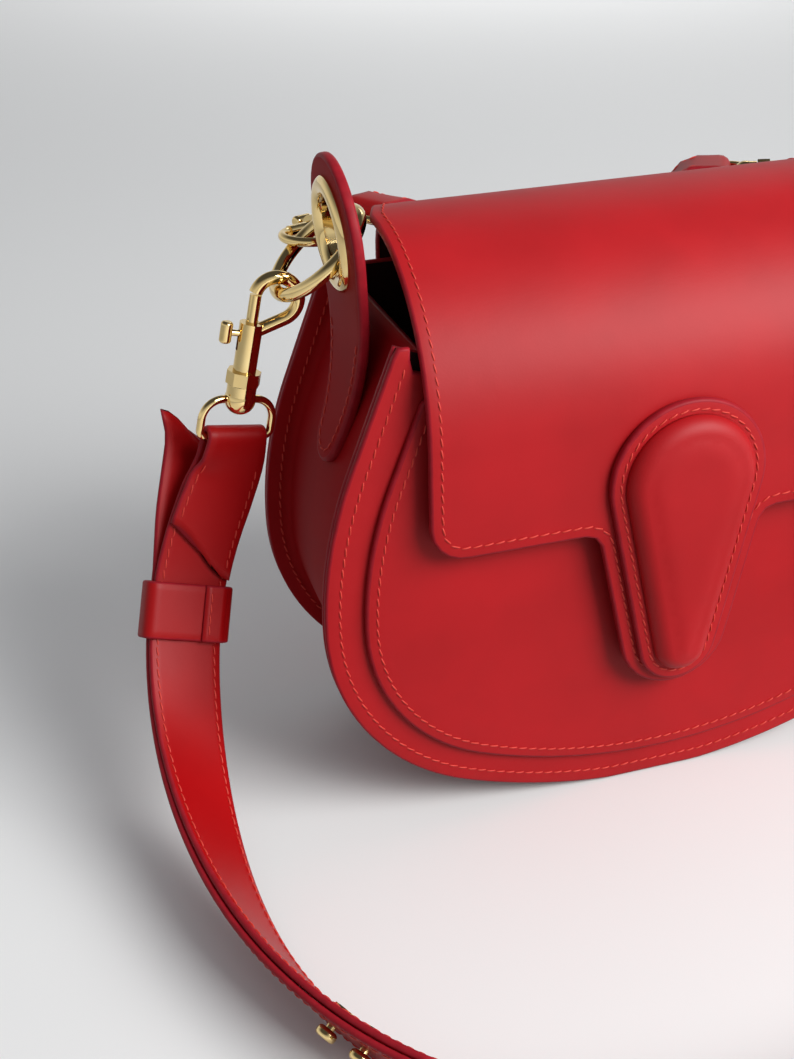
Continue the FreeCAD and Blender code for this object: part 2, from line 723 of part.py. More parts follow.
class Route:
    # A smooth line through places, with the band's width turning evenly from one direction to another.
    def __init__(self, places, start_across, middle_across):
        self.curve = Part.BSplineCurve()
        self.curve.interpolate(places)
        self.length = self.curve.length()
        self.start_across = start_across
        self.middle_across = middle_across

    def frame(self, distance):
        parameter = self.curve.parameterAtDistance(distance, self.curve.FirstParameter)
        place = self.curve.value(parameter)
        along = self.curve.tangent(parameter)[0]
        share = 1 - abs(1 - 2 * distance / self.length)
        turn = min(1, share * turn_rate_share)
        ease = turn * turn * (3 - 2 * turn)
        end_across = Vector(self.start_across)
        if distance > self.length / 2:
            end_across.x = -end_across.x
        across = end_across * (1 - ease) + self.middle_across(along) * ease
        across = across - along * across.dot(along)
        across.normalize()
        face = along.cross(across)
        return place, along, across, face


turn_rate_share = 1.7


def strap_front_across(along):
    level = Vector(along.x, along.y, 0)
    level.normalize()
    outward = Vector(level.y, -level.x, 0)
    return outward * sine(strap_lean_deg) + Vector(0, 0, 1) * cosine(strap_lean_deg)


def handle_across(along):
    return Vector(0, 1, 0)


def lead_in(start, lead):
    # The band leaves its hook in line with it.
    return [start, start + lead / 2, start + lead]


def both_sides(places, middle):
    return places + middle + [Vector(-place.x, place.y, place.z) for place in reversed(places)]


bar_wrap = loop_wire_radius + fold_clearance
strap_bar = strap_hook_place.multVec(Vector(0, 0, -strap_hook_length))
handle_bar = handle_hook_place.multVec(Vector(0, 0, -handle_hook_length))
strap_front_z = (strap_floor_gap + strap_width / 2 * cosine(strap_lean_deg)
                 + (strap_thickness * 3 / 2 + strap_layer_gap) * sine(strap_lean_deg))


def strap_route():
    wrap = bar_wrap + strap_thickness / 2
    start = strap_bar + strap_loop_face * wrap
    rise = start.z - strap_front_z
    places = lead_in(start, strap_hook_up * -strap_lead)
    places += [Vector(-x * strap_spread, -y * strap_reach, strap_front_z + z * rise)
               for x, y, z in strap_route_shares]
    return Route(both_sides(places, [Vector(0, -strap_reach, strap_front_z)]),
                 strap_loop_across, strap_front_across)


def handle_route():
    wrap = bar_wrap + handle_thickness / 2
    start = handle_bar + handle_hook_up.cross(handle_hook_in) * wrap
    way_back = handle_back_y - start.y
    places = lead_in(start, handle_hook_up * -handle_lead)
    places += [Vector(x * start.x, start.y + y * way_back, start.z - z * handle_drop)
               for x, y, z in handle_route_shares]
    return Route(both_sides(places, [Vector(0, handle_back_y, start.z - handle_drop)]),
                 Vector(-sine(handle_hook_yaw_deg), cosine(handle_hook_yaw_deg), 0), handle_across)


def fold_stations(route, at_end, thickness, full_width, narrow_width, fold_length):
    # The band's end, wrapped round the hook's bar and laid back under the band.
    wrap = bar_wrap + thickness / 2
    place, along, across, face = route.frame(route.length if at_end else 0)
    away = along if at_end else along * -1
    bar = place - face * wrap
    stations = []
    for share in fold_shares:
        distance = fold_length * share
        here, run, wide, up = route.frame(route.length - distance if at_end else distance)
        closing = min(1, share / fold_close_share)
        drop = 2 * wrap * (1 - closing) + (thickness + strap_layer_gap) * closing
        width = narrow_width + (full_width - narrow_width) * min(1, share / fold_close_share)
        stations.append((here - up * drop, wide, up * -1, width, -strap_tail_cut if share == 1 else 0))
    stations.reverse()
    turns = 6
    for step in range(turns):
        degrees = 180 - 180 * step / turns
        spoke = face * cosine(degrees) + away * sine(degrees)
        stations.append((bar + spoke * wrap, across, spoke, narrow_width, 0))
    return stations


fold_shares = (0.06, 0.25, 0.5, 0.75, 1)
fold_close_share = 0.5


def run_stations(route, start, end, offset_at, full_width, narrow_width, fold_length):
    # Stations along the route, evenly spaced, narrowing towards a folded end.
    count = max(2, round((end - start) / strap_station_step))
    stations = []
    for index in range(count + 1):
        distance = start + (end - start) * index / count
        place, along, across, face = route.frame(distance)
        near_end = min(distance, route.length - distance)
        widen = min(1, near_end / (fold_length * fold_close_share))
        width = narrow_width + (full_width - narrow_width) * widen
        out, sideways = offset_at(distance)
        stations.append((place + face * out + across * sideways, across, face, width, 0))
    return stations


def flipped(stations):
    return [(place, across, face, width, cut) for place, across, face, width, cut in reversed(stations)]


def strap_pieces():
    route = strap_route()
    print("strap length", round(route.length))
    size = (strap_width, strap_fold_width, strap_fold_length)
    layer = strap_thickness + strap_layer_gap
    short = fold_stations(route, False, strap_thickness, *size)
    short += run_stations(route, 0, strap_short_length, lambda distance: (0, 0), *size)
    short_band = band(short, strap_thickness)

    def long_offset(distance):
        tail = max(0, 1 - distance / keeper_start)
        merge = min(1, max(0, (distance - strap_short_length) / strap_merge_length))
        ease = merge * merge * (3 - 2 * merge)
        away = tail ** strap_tail_bow_share
        return layer * (1 - ease) + strap_tail_spread * away, strap_tail_shift * away

    keeper_start = keeper_place - keeper_height / 2
    tail_start = strap_fold_length * tail_start_share
    long = run_stations(route, tail_start, route.length, long_offset, *size)
    first = long[0]
    long[0] = first[:4] + (-strap_tail_cut,)
    fold = fold_stations(route, True, strap_thickness, *size)
    long_band = band(long + flipped(fold), strap_thickness)

    studs = []
    for distance in (stud_place, stud_place + stud_spacing):
        place, along, across, face = route.frame(distance)
        seat = place - face * (strap_thickness / 2 + stud_seat_gap)
        low = seat - face * stud_back_thickness
        neck = place + face * (layer + strap_thickness / 2 + stud_neck)
        high = neck + face * stud_head_height
        post = rod_solid(stud_post_radius, low, high)
        back = rod_solid(stud_head_radius, low, seat)
        head = rounded_rod(stud_head_radius, neck, high, stud_head_round)
        studs.append(post.fuse([back, head]).removeSplitter())
        beyond = face * cut_overrun
        hole = rod_solid(stud_post_radius + stud_hole_clearance, low - beyond, high + beyond)
        short_band = short_band.cut(hole)
        long_band = long_band.cut(hole)
    export("strap_short", short_band)
    export("strap_long", long_band)
    export("strap_studs", Part.makeCompound(studs))

    place, along, across, face = route.frame(keeper_place)
    middle = place + face * (layer / 2 - keeper_shift)
    inner = (strap_width + 2 * keeper_clearance, strap_thickness + layer + 2 * keeper_clearance)
    outer = (inner[0] + 2 * keeper_thickness, inner[1] + 2 * keeper_thickness)
    frame = hook_frame(middle, along, across)

    def block(size_pair, height):
        width, depth = size_pair
        return Part.makeBox(width, depth, height, Vector(-width / 2, -depth / 2, -height / 2))

    keeper = block(outer, keeper_height).cut(block(inner, keeper_height + cut_overrun))
    export("strap_keeper", placed(keeper, frame))


tail_start_share = 0.12


def handle_pieces():
    route = handle_route()
    print("handle length", round(route.length))
    size = (handle_width, handle_width, handle_fold_length)
    stations = fold_stations(route, False, handle_thickness, *size)
    stations += run_stations(route, 0, route.length, lambda distance: (0, 0), *size)
    stations += flipped(fold_stations(route, True, handle_thickness, *size))
    export("handle_strap", band(stations, handle_thickness))


os.makedirs("parts", exist_ok=True)
body_panels()
flap_pieces()
export_pair("tab", tab_left())
eyelet_pieces()
export_pair("ring", ring_left())
hook_pieces()
strap_pieces()
handle_pieces()
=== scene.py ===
import json
import math
import bpy
import bmesh
import numpy as np
from mathutils import Matrix, Vector
from mathutils.geometry import delaunay_2d_cdt
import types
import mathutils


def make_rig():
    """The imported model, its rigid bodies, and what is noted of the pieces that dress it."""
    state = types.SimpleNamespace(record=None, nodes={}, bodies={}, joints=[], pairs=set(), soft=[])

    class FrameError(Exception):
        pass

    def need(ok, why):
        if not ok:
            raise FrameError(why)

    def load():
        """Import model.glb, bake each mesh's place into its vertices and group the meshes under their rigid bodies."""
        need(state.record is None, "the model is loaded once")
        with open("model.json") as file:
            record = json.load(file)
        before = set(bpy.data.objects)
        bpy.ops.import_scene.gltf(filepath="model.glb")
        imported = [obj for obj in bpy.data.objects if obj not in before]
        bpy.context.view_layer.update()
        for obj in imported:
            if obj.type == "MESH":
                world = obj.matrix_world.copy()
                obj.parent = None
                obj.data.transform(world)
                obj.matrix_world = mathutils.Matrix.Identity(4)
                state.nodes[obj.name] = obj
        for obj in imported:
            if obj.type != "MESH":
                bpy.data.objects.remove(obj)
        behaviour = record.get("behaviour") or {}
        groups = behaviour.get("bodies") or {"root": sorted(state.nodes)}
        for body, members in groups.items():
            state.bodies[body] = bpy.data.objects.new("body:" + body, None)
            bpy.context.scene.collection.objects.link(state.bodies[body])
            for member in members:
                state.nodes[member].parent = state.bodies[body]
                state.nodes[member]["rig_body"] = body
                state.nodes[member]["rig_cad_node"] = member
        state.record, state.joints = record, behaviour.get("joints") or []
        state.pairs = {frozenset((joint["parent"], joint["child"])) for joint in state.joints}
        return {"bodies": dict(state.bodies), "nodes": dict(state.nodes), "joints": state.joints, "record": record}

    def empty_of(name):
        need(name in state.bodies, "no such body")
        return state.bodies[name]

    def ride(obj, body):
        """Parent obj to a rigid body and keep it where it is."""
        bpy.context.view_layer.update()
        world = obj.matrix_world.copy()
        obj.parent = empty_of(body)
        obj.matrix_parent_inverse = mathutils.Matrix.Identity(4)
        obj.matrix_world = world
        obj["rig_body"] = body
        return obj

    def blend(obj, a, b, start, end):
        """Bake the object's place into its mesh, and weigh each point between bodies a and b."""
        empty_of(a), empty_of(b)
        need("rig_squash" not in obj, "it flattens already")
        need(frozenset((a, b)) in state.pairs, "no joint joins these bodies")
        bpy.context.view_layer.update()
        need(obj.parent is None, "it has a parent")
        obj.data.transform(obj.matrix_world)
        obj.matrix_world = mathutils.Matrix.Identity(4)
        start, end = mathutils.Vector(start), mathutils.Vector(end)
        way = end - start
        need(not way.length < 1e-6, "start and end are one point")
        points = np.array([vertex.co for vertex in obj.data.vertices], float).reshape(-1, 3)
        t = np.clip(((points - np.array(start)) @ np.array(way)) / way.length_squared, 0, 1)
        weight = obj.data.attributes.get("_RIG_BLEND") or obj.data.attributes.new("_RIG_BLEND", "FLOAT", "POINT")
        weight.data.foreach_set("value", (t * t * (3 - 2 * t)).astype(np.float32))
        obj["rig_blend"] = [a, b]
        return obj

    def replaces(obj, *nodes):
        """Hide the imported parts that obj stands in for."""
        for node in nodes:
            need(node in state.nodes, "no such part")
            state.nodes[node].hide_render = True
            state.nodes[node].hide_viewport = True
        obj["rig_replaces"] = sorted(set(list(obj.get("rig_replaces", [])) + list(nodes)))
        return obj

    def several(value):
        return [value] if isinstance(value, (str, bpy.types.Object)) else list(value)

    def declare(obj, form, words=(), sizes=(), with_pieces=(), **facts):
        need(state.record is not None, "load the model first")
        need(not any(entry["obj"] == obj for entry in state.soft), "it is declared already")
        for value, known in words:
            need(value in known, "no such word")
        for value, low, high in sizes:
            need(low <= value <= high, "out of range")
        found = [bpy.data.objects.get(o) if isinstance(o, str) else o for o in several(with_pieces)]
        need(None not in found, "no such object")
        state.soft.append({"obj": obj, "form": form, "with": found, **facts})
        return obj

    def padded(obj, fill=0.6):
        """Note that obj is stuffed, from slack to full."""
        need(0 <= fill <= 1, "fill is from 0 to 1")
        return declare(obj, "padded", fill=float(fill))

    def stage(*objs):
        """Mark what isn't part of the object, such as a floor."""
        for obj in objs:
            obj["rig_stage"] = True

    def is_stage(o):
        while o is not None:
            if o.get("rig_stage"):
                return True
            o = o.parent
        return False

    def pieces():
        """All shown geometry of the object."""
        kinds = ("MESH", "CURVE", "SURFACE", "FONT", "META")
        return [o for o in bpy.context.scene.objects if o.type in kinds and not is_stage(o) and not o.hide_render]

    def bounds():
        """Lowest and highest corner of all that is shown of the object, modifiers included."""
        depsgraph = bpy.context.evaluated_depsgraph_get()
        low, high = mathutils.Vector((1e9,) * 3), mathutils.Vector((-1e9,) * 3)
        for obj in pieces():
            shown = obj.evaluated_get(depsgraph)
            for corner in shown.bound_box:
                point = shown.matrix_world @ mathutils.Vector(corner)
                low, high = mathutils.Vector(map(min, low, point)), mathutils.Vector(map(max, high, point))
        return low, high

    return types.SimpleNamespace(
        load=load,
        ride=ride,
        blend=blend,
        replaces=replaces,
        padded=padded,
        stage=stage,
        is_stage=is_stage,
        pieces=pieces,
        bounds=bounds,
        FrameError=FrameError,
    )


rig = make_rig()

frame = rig.load()
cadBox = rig.bounds()
nodes = frame["nodes"]
mm = 0.001
bpy.context.scene.view_settings.view_transform = "Standard"


def linear(hexCode):
    # Colours are written as they look on a screen.
    parts = [int(hexCode[i:i + 2], 16) / 255 for i in (1, 3, 5)]
    return [c / 12.92 if c <= 0.04045 else ((c + 0.055) / 1.055) ** 2.4 for c in parts] + [1.0]


def addNode(tree, kind, links=None, **values):
    # Links are {input: socket}; a value whose name the node knows is a setting, and the rest go to inputs.
    node = tree.nodes.new(kind)
    for name, value in values.items():
        if hasattr(node, name):
            setattr(node, name, value)
        else:
            node.inputs[name.replace("_", " ")].default_value = value
    for name, socket in (links or {}).items():
        tree.links.new(socket, node.inputs[name])
    return node


def newMaterial(name):
    material = bpy.data.materials.new(name)
    material.use_nodes = True
    tree = material.node_tree
    return material, tree, tree.nodes["Principled BSDF"]


def twoTone(tree, share, low, high, start, end):
    # A colour that runs from low to high as the share goes from start to end.
    ramp = addNode(tree, "ShaderNodeValToRGB", {"Fac": share})
    for stop, place, colour in zip(ramp.color_ramp.elements, (start, end), (low, high)):
        stop.position, stop.color = place, linear(colour)
    return ramp.outputs["Color"]


grainHigh, waveHigh = 0.1 * mm, 0.6 * mm


def leatherFinish(look):
    # Dyed calf, plated smooth: a soft broad sheen, faint cloudy dye and a fine pore that only shows near.
    material, tree, shader = newMaterial(look["name"])
    spot = addNode(tree, "ShaderNodeTexCoord").outputs["Object"]
    cloud = addNode(tree, "ShaderNodeTexNoise", {"Vector": spot}, Scale=1 / (look["cloudMm"] * mm),
                    Detail=3.0)
    tint = twoTone(tree, cloud.outputs["Fac"], look["dark"], look["light"], *look["tintShare"])
    pore = addNode(tree, "ShaderNodeTexVoronoi", {"Vector": spot}, Scale=1 / (look["poreMm"] * mm))
    wave = addNode(tree, "ShaderNodeTexNoise", {"Vector": spot}, Scale=1 / (look["waveMm"] * mm), Detail=2.0)
    fine = addNode(tree, "ShaderNodeBump", {"Height": pore.outputs["Distance"]}, Strength=look["poreDepth"],
                   Distance=grainHigh)
    slow = addNode(tree, "ShaderNodeBump", {"Height": wave.outputs["Fac"], "Normal": fine.outputs["Normal"]},
                   Strength=look["waveDepth"], Distance=waveHigh)
    tree.links.new(tint, shader.inputs["Base Color"])
    tree.links.new(slow.outputs["Normal"], shader.inputs["Normal"])
    shader.inputs["Roughness"].default_value = look["rough"]
    shader.inputs["Specular IOR Level"].default_value = look["specular"]
    return material


calfLook = {"name": "dyed calf leather", "dark": "#A30B12", "light": "#B20F17", "tintShare": (0.3, 0.72),
            "cloudMm": 38, "poreMm": 0.75, "poreDepth": 0.10, "waveMm": 9, "waveDepth": 0.10, "rough": 0.52,
            "specular": 0.31}
# Polished: a deeper red, with a narrower and fainter sheen
strapLook = dict(calfLook, name="polished strap leather", dark="#9A060A", light="#A8080C", rough=0.44,
                 specular=0.24)
# A copy of the calf for the shaded sides: rougher and with less shine, so it takes hardly any grey shine from the
# wall, and a darker red, which is painted shade
paintedShadeSideLook = dict(calfLook, name="matt side leather with painted shade", dark="#980A11", light="#A60D15", rough=0.6, specular=0.1)
# Brushed nap: almost black inside the bag, with hardly any shine
liningLook = dict(calfLook, name="dark suede lining", dark="#2A1212", light="#341716", poreMm=0.5,
                  poreDepth=0.4, rough=0.9, specular=0.15)
calf = leatherFinish(calfLook)
strapCalf = leatherFinish(strapLook)
paintedShadeSideCalf = leatherFinish(paintedShadeSideLook)
suede = leatherFinish(liningLook)


def plainFinish(look):
    # Thread, paint and metal: a fine two-tone grain with a slight bump.
    material, tree, shader = newMaterial(look["name"])
    spot = addNode(tree, "ShaderNodeTexCoord").outputs["Object"]
    grain = addNode(tree, "ShaderNodeTexNoise", {"Vector": spot}, Scale=1 / (look["grainMm"] * mm),
                    Detail=2.0)
    tint = twoTone(tree, grain.outputs["Fac"], look["dark"], look["light"], 0.25, 0.75)
    bump = addNode(tree, "ShaderNodeBump", {"Height": grain.outputs["Fac"]}, Strength=look["depth"],
                   Distance=grainHigh)
    tree.links.new(tint, shader.inputs["Base Color"])
    tree.links.new(bump.outputs["Normal"], shader.inputs["Normal"])
    shader.inputs["Metallic"].default_value = look["metal"]
    shader.inputs["Roughness"].default_value = look["rough"]
    shader.inputs["Specular IOR Level"].default_value = look.get("specular", 0.5)
    return material


# Acrylic edge paint, rubbed dull: a darker line round every cut edge
edgePaint = plainFinish({"name": "acrylic edge paint", "dark": "#8C1420", "light": "#A01A26", "grainMm": 4,
                         "depth": 0.06, "metal": 0.0, "rough": 0.5, "specular": 0.18})
# Waxed polyester thread: an orange red that stands out from the dye
thread = plainFinish({"name": "waxed polyester thread", "dark": "#C22C22", "light": "#D23C2E", "grainMm": 0.6,
                      "depth": 0.5, "metal": 0.0, "rough": 0.55})
# Zinc castings, polished and plated pale gold: bright mirror highlights, very slight unevenness
goldPlate = plainFinish({"name": "pale gold plate", "dark": "#EECF8E", "light": "#F4D99C", "grainMm": 6,
                         "depth": 0.02, "metal": 1.0, "rough": 0.09})
# Nickel plated magnet cups
nickel = plainFinish({"name": "nickel plated steel", "dark": "#A8A49C", "light": "#B8B4AC", "grainMm": 2,
                      "depth": 0.05, "metal": 1.0, "rough": 0.3})
print("finishes ready")


def sin(degrees):
    return math.sin(math.radians(degrees))


def cos(degrees):
    return math.cos(math.radians(degrees))


def unit(v):
    v = np.asarray(v, float)
    return v / np.linalg.norm(v, axis=-1, keepdims=True)


def spaced(points, step, closed):
    # Points a step apart along a line of points of any dimension.
    points = np.asarray(points, float)
    line = np.vstack([points, points[:1]]) if closed else points
    lengths = np.linalg.norm(np.diff(line, axis=0), axis=1)
    keep = np.concatenate([[True], lengths > 1e-9])
    line = line[keep]
    along = np.concatenate([[0], np.cumsum(lengths[lengths > 1e-9])])
    count = max(2, round(along[-1] / step))
    where = np.linspace(0, along[-1], count + 1)
    if closed:
        where = where[:-1]
    return np.column_stack([np.interp(where, along, line[:, k]) for k in range(line.shape[1])])


def arcPoints(centre, radius, startDeg, endDeg, step=1.0):
    count = max(3, int(abs(endDeg - startDeg) * math.pi / 180 * radius / step))
    return [(centre[0] + radius * cos(startDeg + (endDeg - startDeg) * k / count),
             centre[1] + radius * sin(startDeg + (endDeg - startDeg) * k / count)) for k in range(count + 1)]


def roundedOutline(corners):
    # Corners are (u, v, radius); the outline comes back as fine points.
    count = len(corners)
    points = []
    for i, (u, v, radius) in enumerate(corners):
        here = np.array((u, v), float)
        if radius == 0:
            points.append(here)
            continue
        before = unit(np.array(corners[i - 1][:2], float) - here)
        after = unit(np.array(corners[(i + 1) % count][:2], float) - here)
        half = math.acos(np.clip(before @ after, -1, 1)) / 2
        centre = here + unit(before + after) * radius / math.sin(half)
        first = here + before * radius / math.tan(half) - centre
        last = here + after * radius / math.tan(half) - centre
        start = math.degrees(math.atan2(first[1], first[0]))
        turn = (math.degrees(math.atan2(last[1], last[0])) - start + 180) % 360 - 180
        points += [np.array(p) for p in arcPoints(centre, radius, start, start + turn)]
    return np.array(points)


def twoCircleOutline(bigRadius, bigV, smallRadius, smallV):
    slope = math.degrees(math.asin((bigRadius - smallRadius) / (bigV - smallV)))
    return np.array(arcPoints((0, bigV), bigRadius, -slope, 180 + slope)
                    + arcPoints((0, smallV), smallRadius, 180 + slope, 360 - slope))


def drawnIn(outline, distance):
    # The outline moved inwards; it runs anticlockwise.
    ahead = np.roll(outline, -1, axis=0) - np.roll(outline, 1, axis=0)
    ahead = unit(ahead)
    return outline + np.column_stack([-ahead[:, 1], ahead[:, 0]]) * distance


def anticlockwise(outline):
    x, y = outline[:, 0], outline[:, 1]
    area = np.sum(x * np.roll(y, -1) - y * np.roll(x, -1))
    return outline if area > 0 else outline[::-1]


def inside(points, outline):
    hit = np.zeros(len(points), bool)
    for (x0, y0), (x1, y1) in zip(outline, np.roll(outline, -1, axis=0)):
        crosses = (y0 > points[:, 1]) != (y1 > points[:, 1])
        with np.errstate(divide="ignore", invalid="ignore"):
            at = (x1 - x0) * (points[:, 1] - y0) / (y1 - y0) + x0
        hit ^= crosses & (points[:, 0] < at)
    return hit


def gridPoints(low, high, step):
    columns, rows = [np.arange(low[k], high[k], step) for k in (0, 1)]
    return np.array([(u, v) for u in columns for v in rows])


def newObject(name, places, faces, materials, slots=None, smooth=True):
    # Places are in millimetres in the part's own frame.
    mesh = bpy.data.meshes.new(name)
    mesh.from_pydata([tuple(p) for p in np.asarray(places) * mm], [], [list(map(int, f)) for f in faces])
    for material in materials:
        mesh.materials.append(material)
    if slots is not None:
        mesh.polygons.foreach_set("material_index", slots)
    mesh.polygons.foreach_set("use_smooth", [smooth] * len(mesh.polygons))
    work = bmesh.new()
    work.from_mesh(mesh)
    bmesh.ops.recalc_face_normals(work, faces=work.faces)
    work.to_mesh(mesh)
    work.free()
    mesh.validate()
    obj = bpy.data.objects.new(name, mesh)
    bpy.context.scene.collection.objects.link(obj)
    return obj


def board(name, outline, place, thick, rounding, step, materials, hole=None):
    # A cut piece of leather: two faces and a rounded, painted edge.
    # place(u, v, h) sets it in space, h up from its face.
    outline = anticlockwise(spaced(outline, step, True))
    quarter = np.linspace(90, 0, 4)
    profile = [(rounding * (1 - cos(a)), -rounding * (1 - sin(a))) for a in quarter]
    profile += [(inset, -thick - h) for inset, h in reversed(profile)]
    ring = len(outline)
    inner = drawnIn(outline, rounding)
    safe = drawnIn(outline, rounding + 0.55 * step)
    low, high = inner.min(0), inner.max(0)
    grid = gridPoints(low, high, step)
    grid = grid[inside(grid, safe)]
    edges = []
    flat = list(inner)
    if hole is not None:
        centre, radius = hole
        clear = np.linalg.norm(grid - np.array(centre), axis=1) > radius + 0.5 * step
        grid = grid[clear]
        bore = np.array(arcPoints(centre, radius, 0, 360, step))[:-1]
        edges = [(ring + k, ring + (k + 1) % len(bore)) for k in range(len(bore))]
        flat += list(bore)
    flat += list(grid)
    done = delaunay_2d_cdt([Vector(p) for p in flat], edges, [list(range(ring))], 1, 1e-6)
    spots = np.array([tuple(p) for p in done[0]])
    triangles = np.array(done[2])
    found = {}
    for index, sources in enumerate(done[3]):
        for source in sources:
            found[source] = index
    if hole is not None:
        middle = spots[triangles].mean(axis=1)
        triangles = triangles[np.linalg.norm(middle - np.array(centre), axis=1) > radius * 0.98]
    places = [place(u, v, 0.0) for u, v in spots]
    count = len(spots)
    places += [place(u, v, -thick) for u, v in spots]
    faces = [list(t) for t in triangles] + [[t[0] + count, t[2] + count, t[1] + count] for t in triangles]
    slots = [0] * len(triangles) + [2] * len(triangles)
    rings = [[found[k] for k in range(ring)]]
    for inset, h in profile[1:-1]:
        start = len(places)
        moved = drawnIn(outline, inset)
        places += [place(u, v, h) for u, v in moved]
        rings.append(list(range(start, start + ring)))
    rings.append([found[k] + count for k in range(ring)])
    for upper, lower in zip(rings, rings[1:]):
        for k in range(ring):
            n = (k + 1) % ring
            faces.append([upper[k], upper[n], lower[n], lower[k]])
            slots.append(1)
    if hole is not None:
        for a, b in edges:
            faces.append([found[a], found[b], found[b] + count, found[a] + count])
            slots.append(1)
    return newObject(name, places, faces, materials, slots)


stitchLook = {"pitch": 3.85, "gap": 0.6, "radius": 0.32, "arch": 0.14, "sink": 1.6, "slant": 0.26,
              "shortest": 0.4}


def stitches(name, places, ups, look=stitchLook, closed=False):
    # A saddle stitch: short plump threads end to end, each a little askew and sunk at its ends.
    both = spaced(np.hstack([places, ups]), look["pitch"], closed)
    spots, ups = both[:, :3], unit(both[:, 3:])
    nexts = np.roll(spots, -1, axis=0)
    total = len(spots) if closed else len(spots) - 1
    swell = [(-1.0, 0.35), (-0.82, 0.8), (-0.45, 1.0), (0.0, 1.0), (0.45, 1.0), (0.82, 0.8), (1.0, 0.35)]
    sides = 6
    verts, faces = [], []
    for k in range(total):
        run = nexts[k] - spots[k]
        length = np.linalg.norm(run)
        if length < look["shortest"] * look["pitch"]:
            continue
        run = run / length
        side = np.cross(ups[k], run)
        half = (length - look["gap"]) / 2
        middle = (spots[k] + nexts[k]) / 2
        base = len(verts)
        for t, fat in swell:
            high = look["arch"] * (1 - look["sink"] * t * t)
            at = middle + run * half * t + side * look["slant"] * t + ups[k] * high
            for s in range(sides):
                a = 360 * s / sides
                verts.append(at + (side * cos(a) + ups[k] * sin(a)) * look["radius"] * fat)
        for r in range(len(swell) - 1):
            for s in range(sides):
                n = (s + 1) % sides
                faces.append([base + r * sides + s, base + r * sides + n, base + (r + 1) * sides + n,
                              base + (r + 1) * sides + s])
        faces.append([base + s for s in range(sides)])
        faces.append([base + (len(swell) - 1) * sides + s for s in range(sides)])
    return newObject(name, verts, faces, [thread])


def onFace(line, place):
    # Where a line drawn on a flat cut piece lies in space, and which way is up there.
    places = np.array([place(u, v, 0.0) for u, v in line])
    ups = np.array([place(u, v, 1.0) for u, v in line]) - places
    return places, ups


def seamLine(outline, step, inset):
    return drawnIn(anticlockwise(spaced(outline, step, True)), inset)


def openRun(outline, keep):
    # The one stretch of a closed outline that keep(u, v) picks.
    picked = np.array([keep(u, v) for u, v in outline])
    start = next(k for k in range(len(outline)) if picked[k] and not picked[k - 1])
    turned = np.roll(outline, -start, axis=0)
    return turned[np.roll(picked, -start)]


body = {"width": 244.0, "depth": 91.0, "top": 180.0, "widest": 84.0, "corner": 76.0, "side": 150.0,
        "slope": 22.0, "sink": 0.8, "panel": 2.8, "gusset": 2.2, "gussetInset": 9.0, "overlayInset": 13.0,
        "overlay": 2.6, "overlayTop": 164.0, "overlayEdge": 1.1, "overlayStitch": 4.0, "overlayStop": 8.0,
        "rimStitch": 5.0, "rimStop": 6.0, "mouth": 9.0, "mouthRoom": 2.0, "mouthCorner": 3.0, "edge": 0.9,
        "mesh": 4.0, "seamStep": 2.0, "gussetBend": 3.0, "gussetEdge": 0.5, "gussetSwell": 0.7}
cornerX = body["width"] / 2 - body["corner"]
sunk = body["widest"] + body["sink"]
bottomRadius = (cornerX ** 2 + sunk ** 2 - body["corner"] ** 2) / (2 * (sunk - body["corner"]))
bottomZ = bottomRadius - body["sink"]
sideX = body["width"] / 2 - body["side"]
joinDeg = math.degrees(math.atan2(bottomZ - body["widest"], cornerX))
frontY = -body["depth"] / 2
backY = body["depth"] / 2


def pearSide(inset, top):
    # Right half of the pear, from the middle of its base to the top.
    points = arcPoints((0, bottomZ), bottomRadius - inset, -90, -joinDeg)
    points += arcPoints((cornerX, body["widest"]), body["corner"] - inset, -joinDeg, 0)[1:]
    points += arcPoints((sideX, body["widest"]), body["side"] - inset, 0, body["slope"])[1:]
    x, z = points[-1]
    points.append((x - (top - z) * math.tan(math.radians(body["slope"])), top))
    points = np.array(points)
    points[:, 1] = np.maximum(points[:, 1], 0)
    return points


def pearOutline(inset, top):
    right = pearSide(inset, top)
    return np.vstack([right, right[:0:-1] * (-1, 1)])


def facing(y, way):
    # Sets a flat piece in the plane y; way is -1 for the front, 1 for the back.
    return lambda u, v, h: (u, y + way * h, v)


def rimSeam():
    # Inside the pear's rim, from one top corner round the base to the other.
    line = seamLine(pearOutline(0, body["top"]), body["seamStep"], body["rimStitch"])
    return openRun(line, lambda u, v: v < body["top"] - body["rimStop"])


def frontPanel():
    # Its top edge dips under the flap, for the mouth.
    half, low, top = flap["halfWidth"] + body["mouthRoom"], body["top"] - body["mouth"], body["top"]
    right = pearSide(0, top)
    turn = body["mouthCorner"]
    corner = arcPoints((half - turn, low + turn), turn, 0, -90)
    rim = np.vstack([right, [(half, top)], corner])
    outline = np.vstack([rim, rim[::-1] * (-1, 1)])
    panel = board("frontPanelLeather", outline, facing(frontY, -1), body["panel"], body["edge"], body["mesh"],
                  [calf, edgePaint, suede])
    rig.replaces(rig.ride(panel, "bag"), "front_panel")
    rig.ride(stitches("frontRimStitches", *onFace(rimSeam(), facing(frontY, -1))), "bag")


def backPanel():
    panel = board("backPanelLeather", pearOutline(0, body["top"]), facing(backY, 1), body["panel"],
                  body["edge"], body["mesh"], [calf, edgePaint, suede])
    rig.replaces(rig.ride(panel, "bag"), "back_panel")
    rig.ride(stitches("backRimStitches", *onFace(rimSeam(), facing(backY, 1))), "bag")


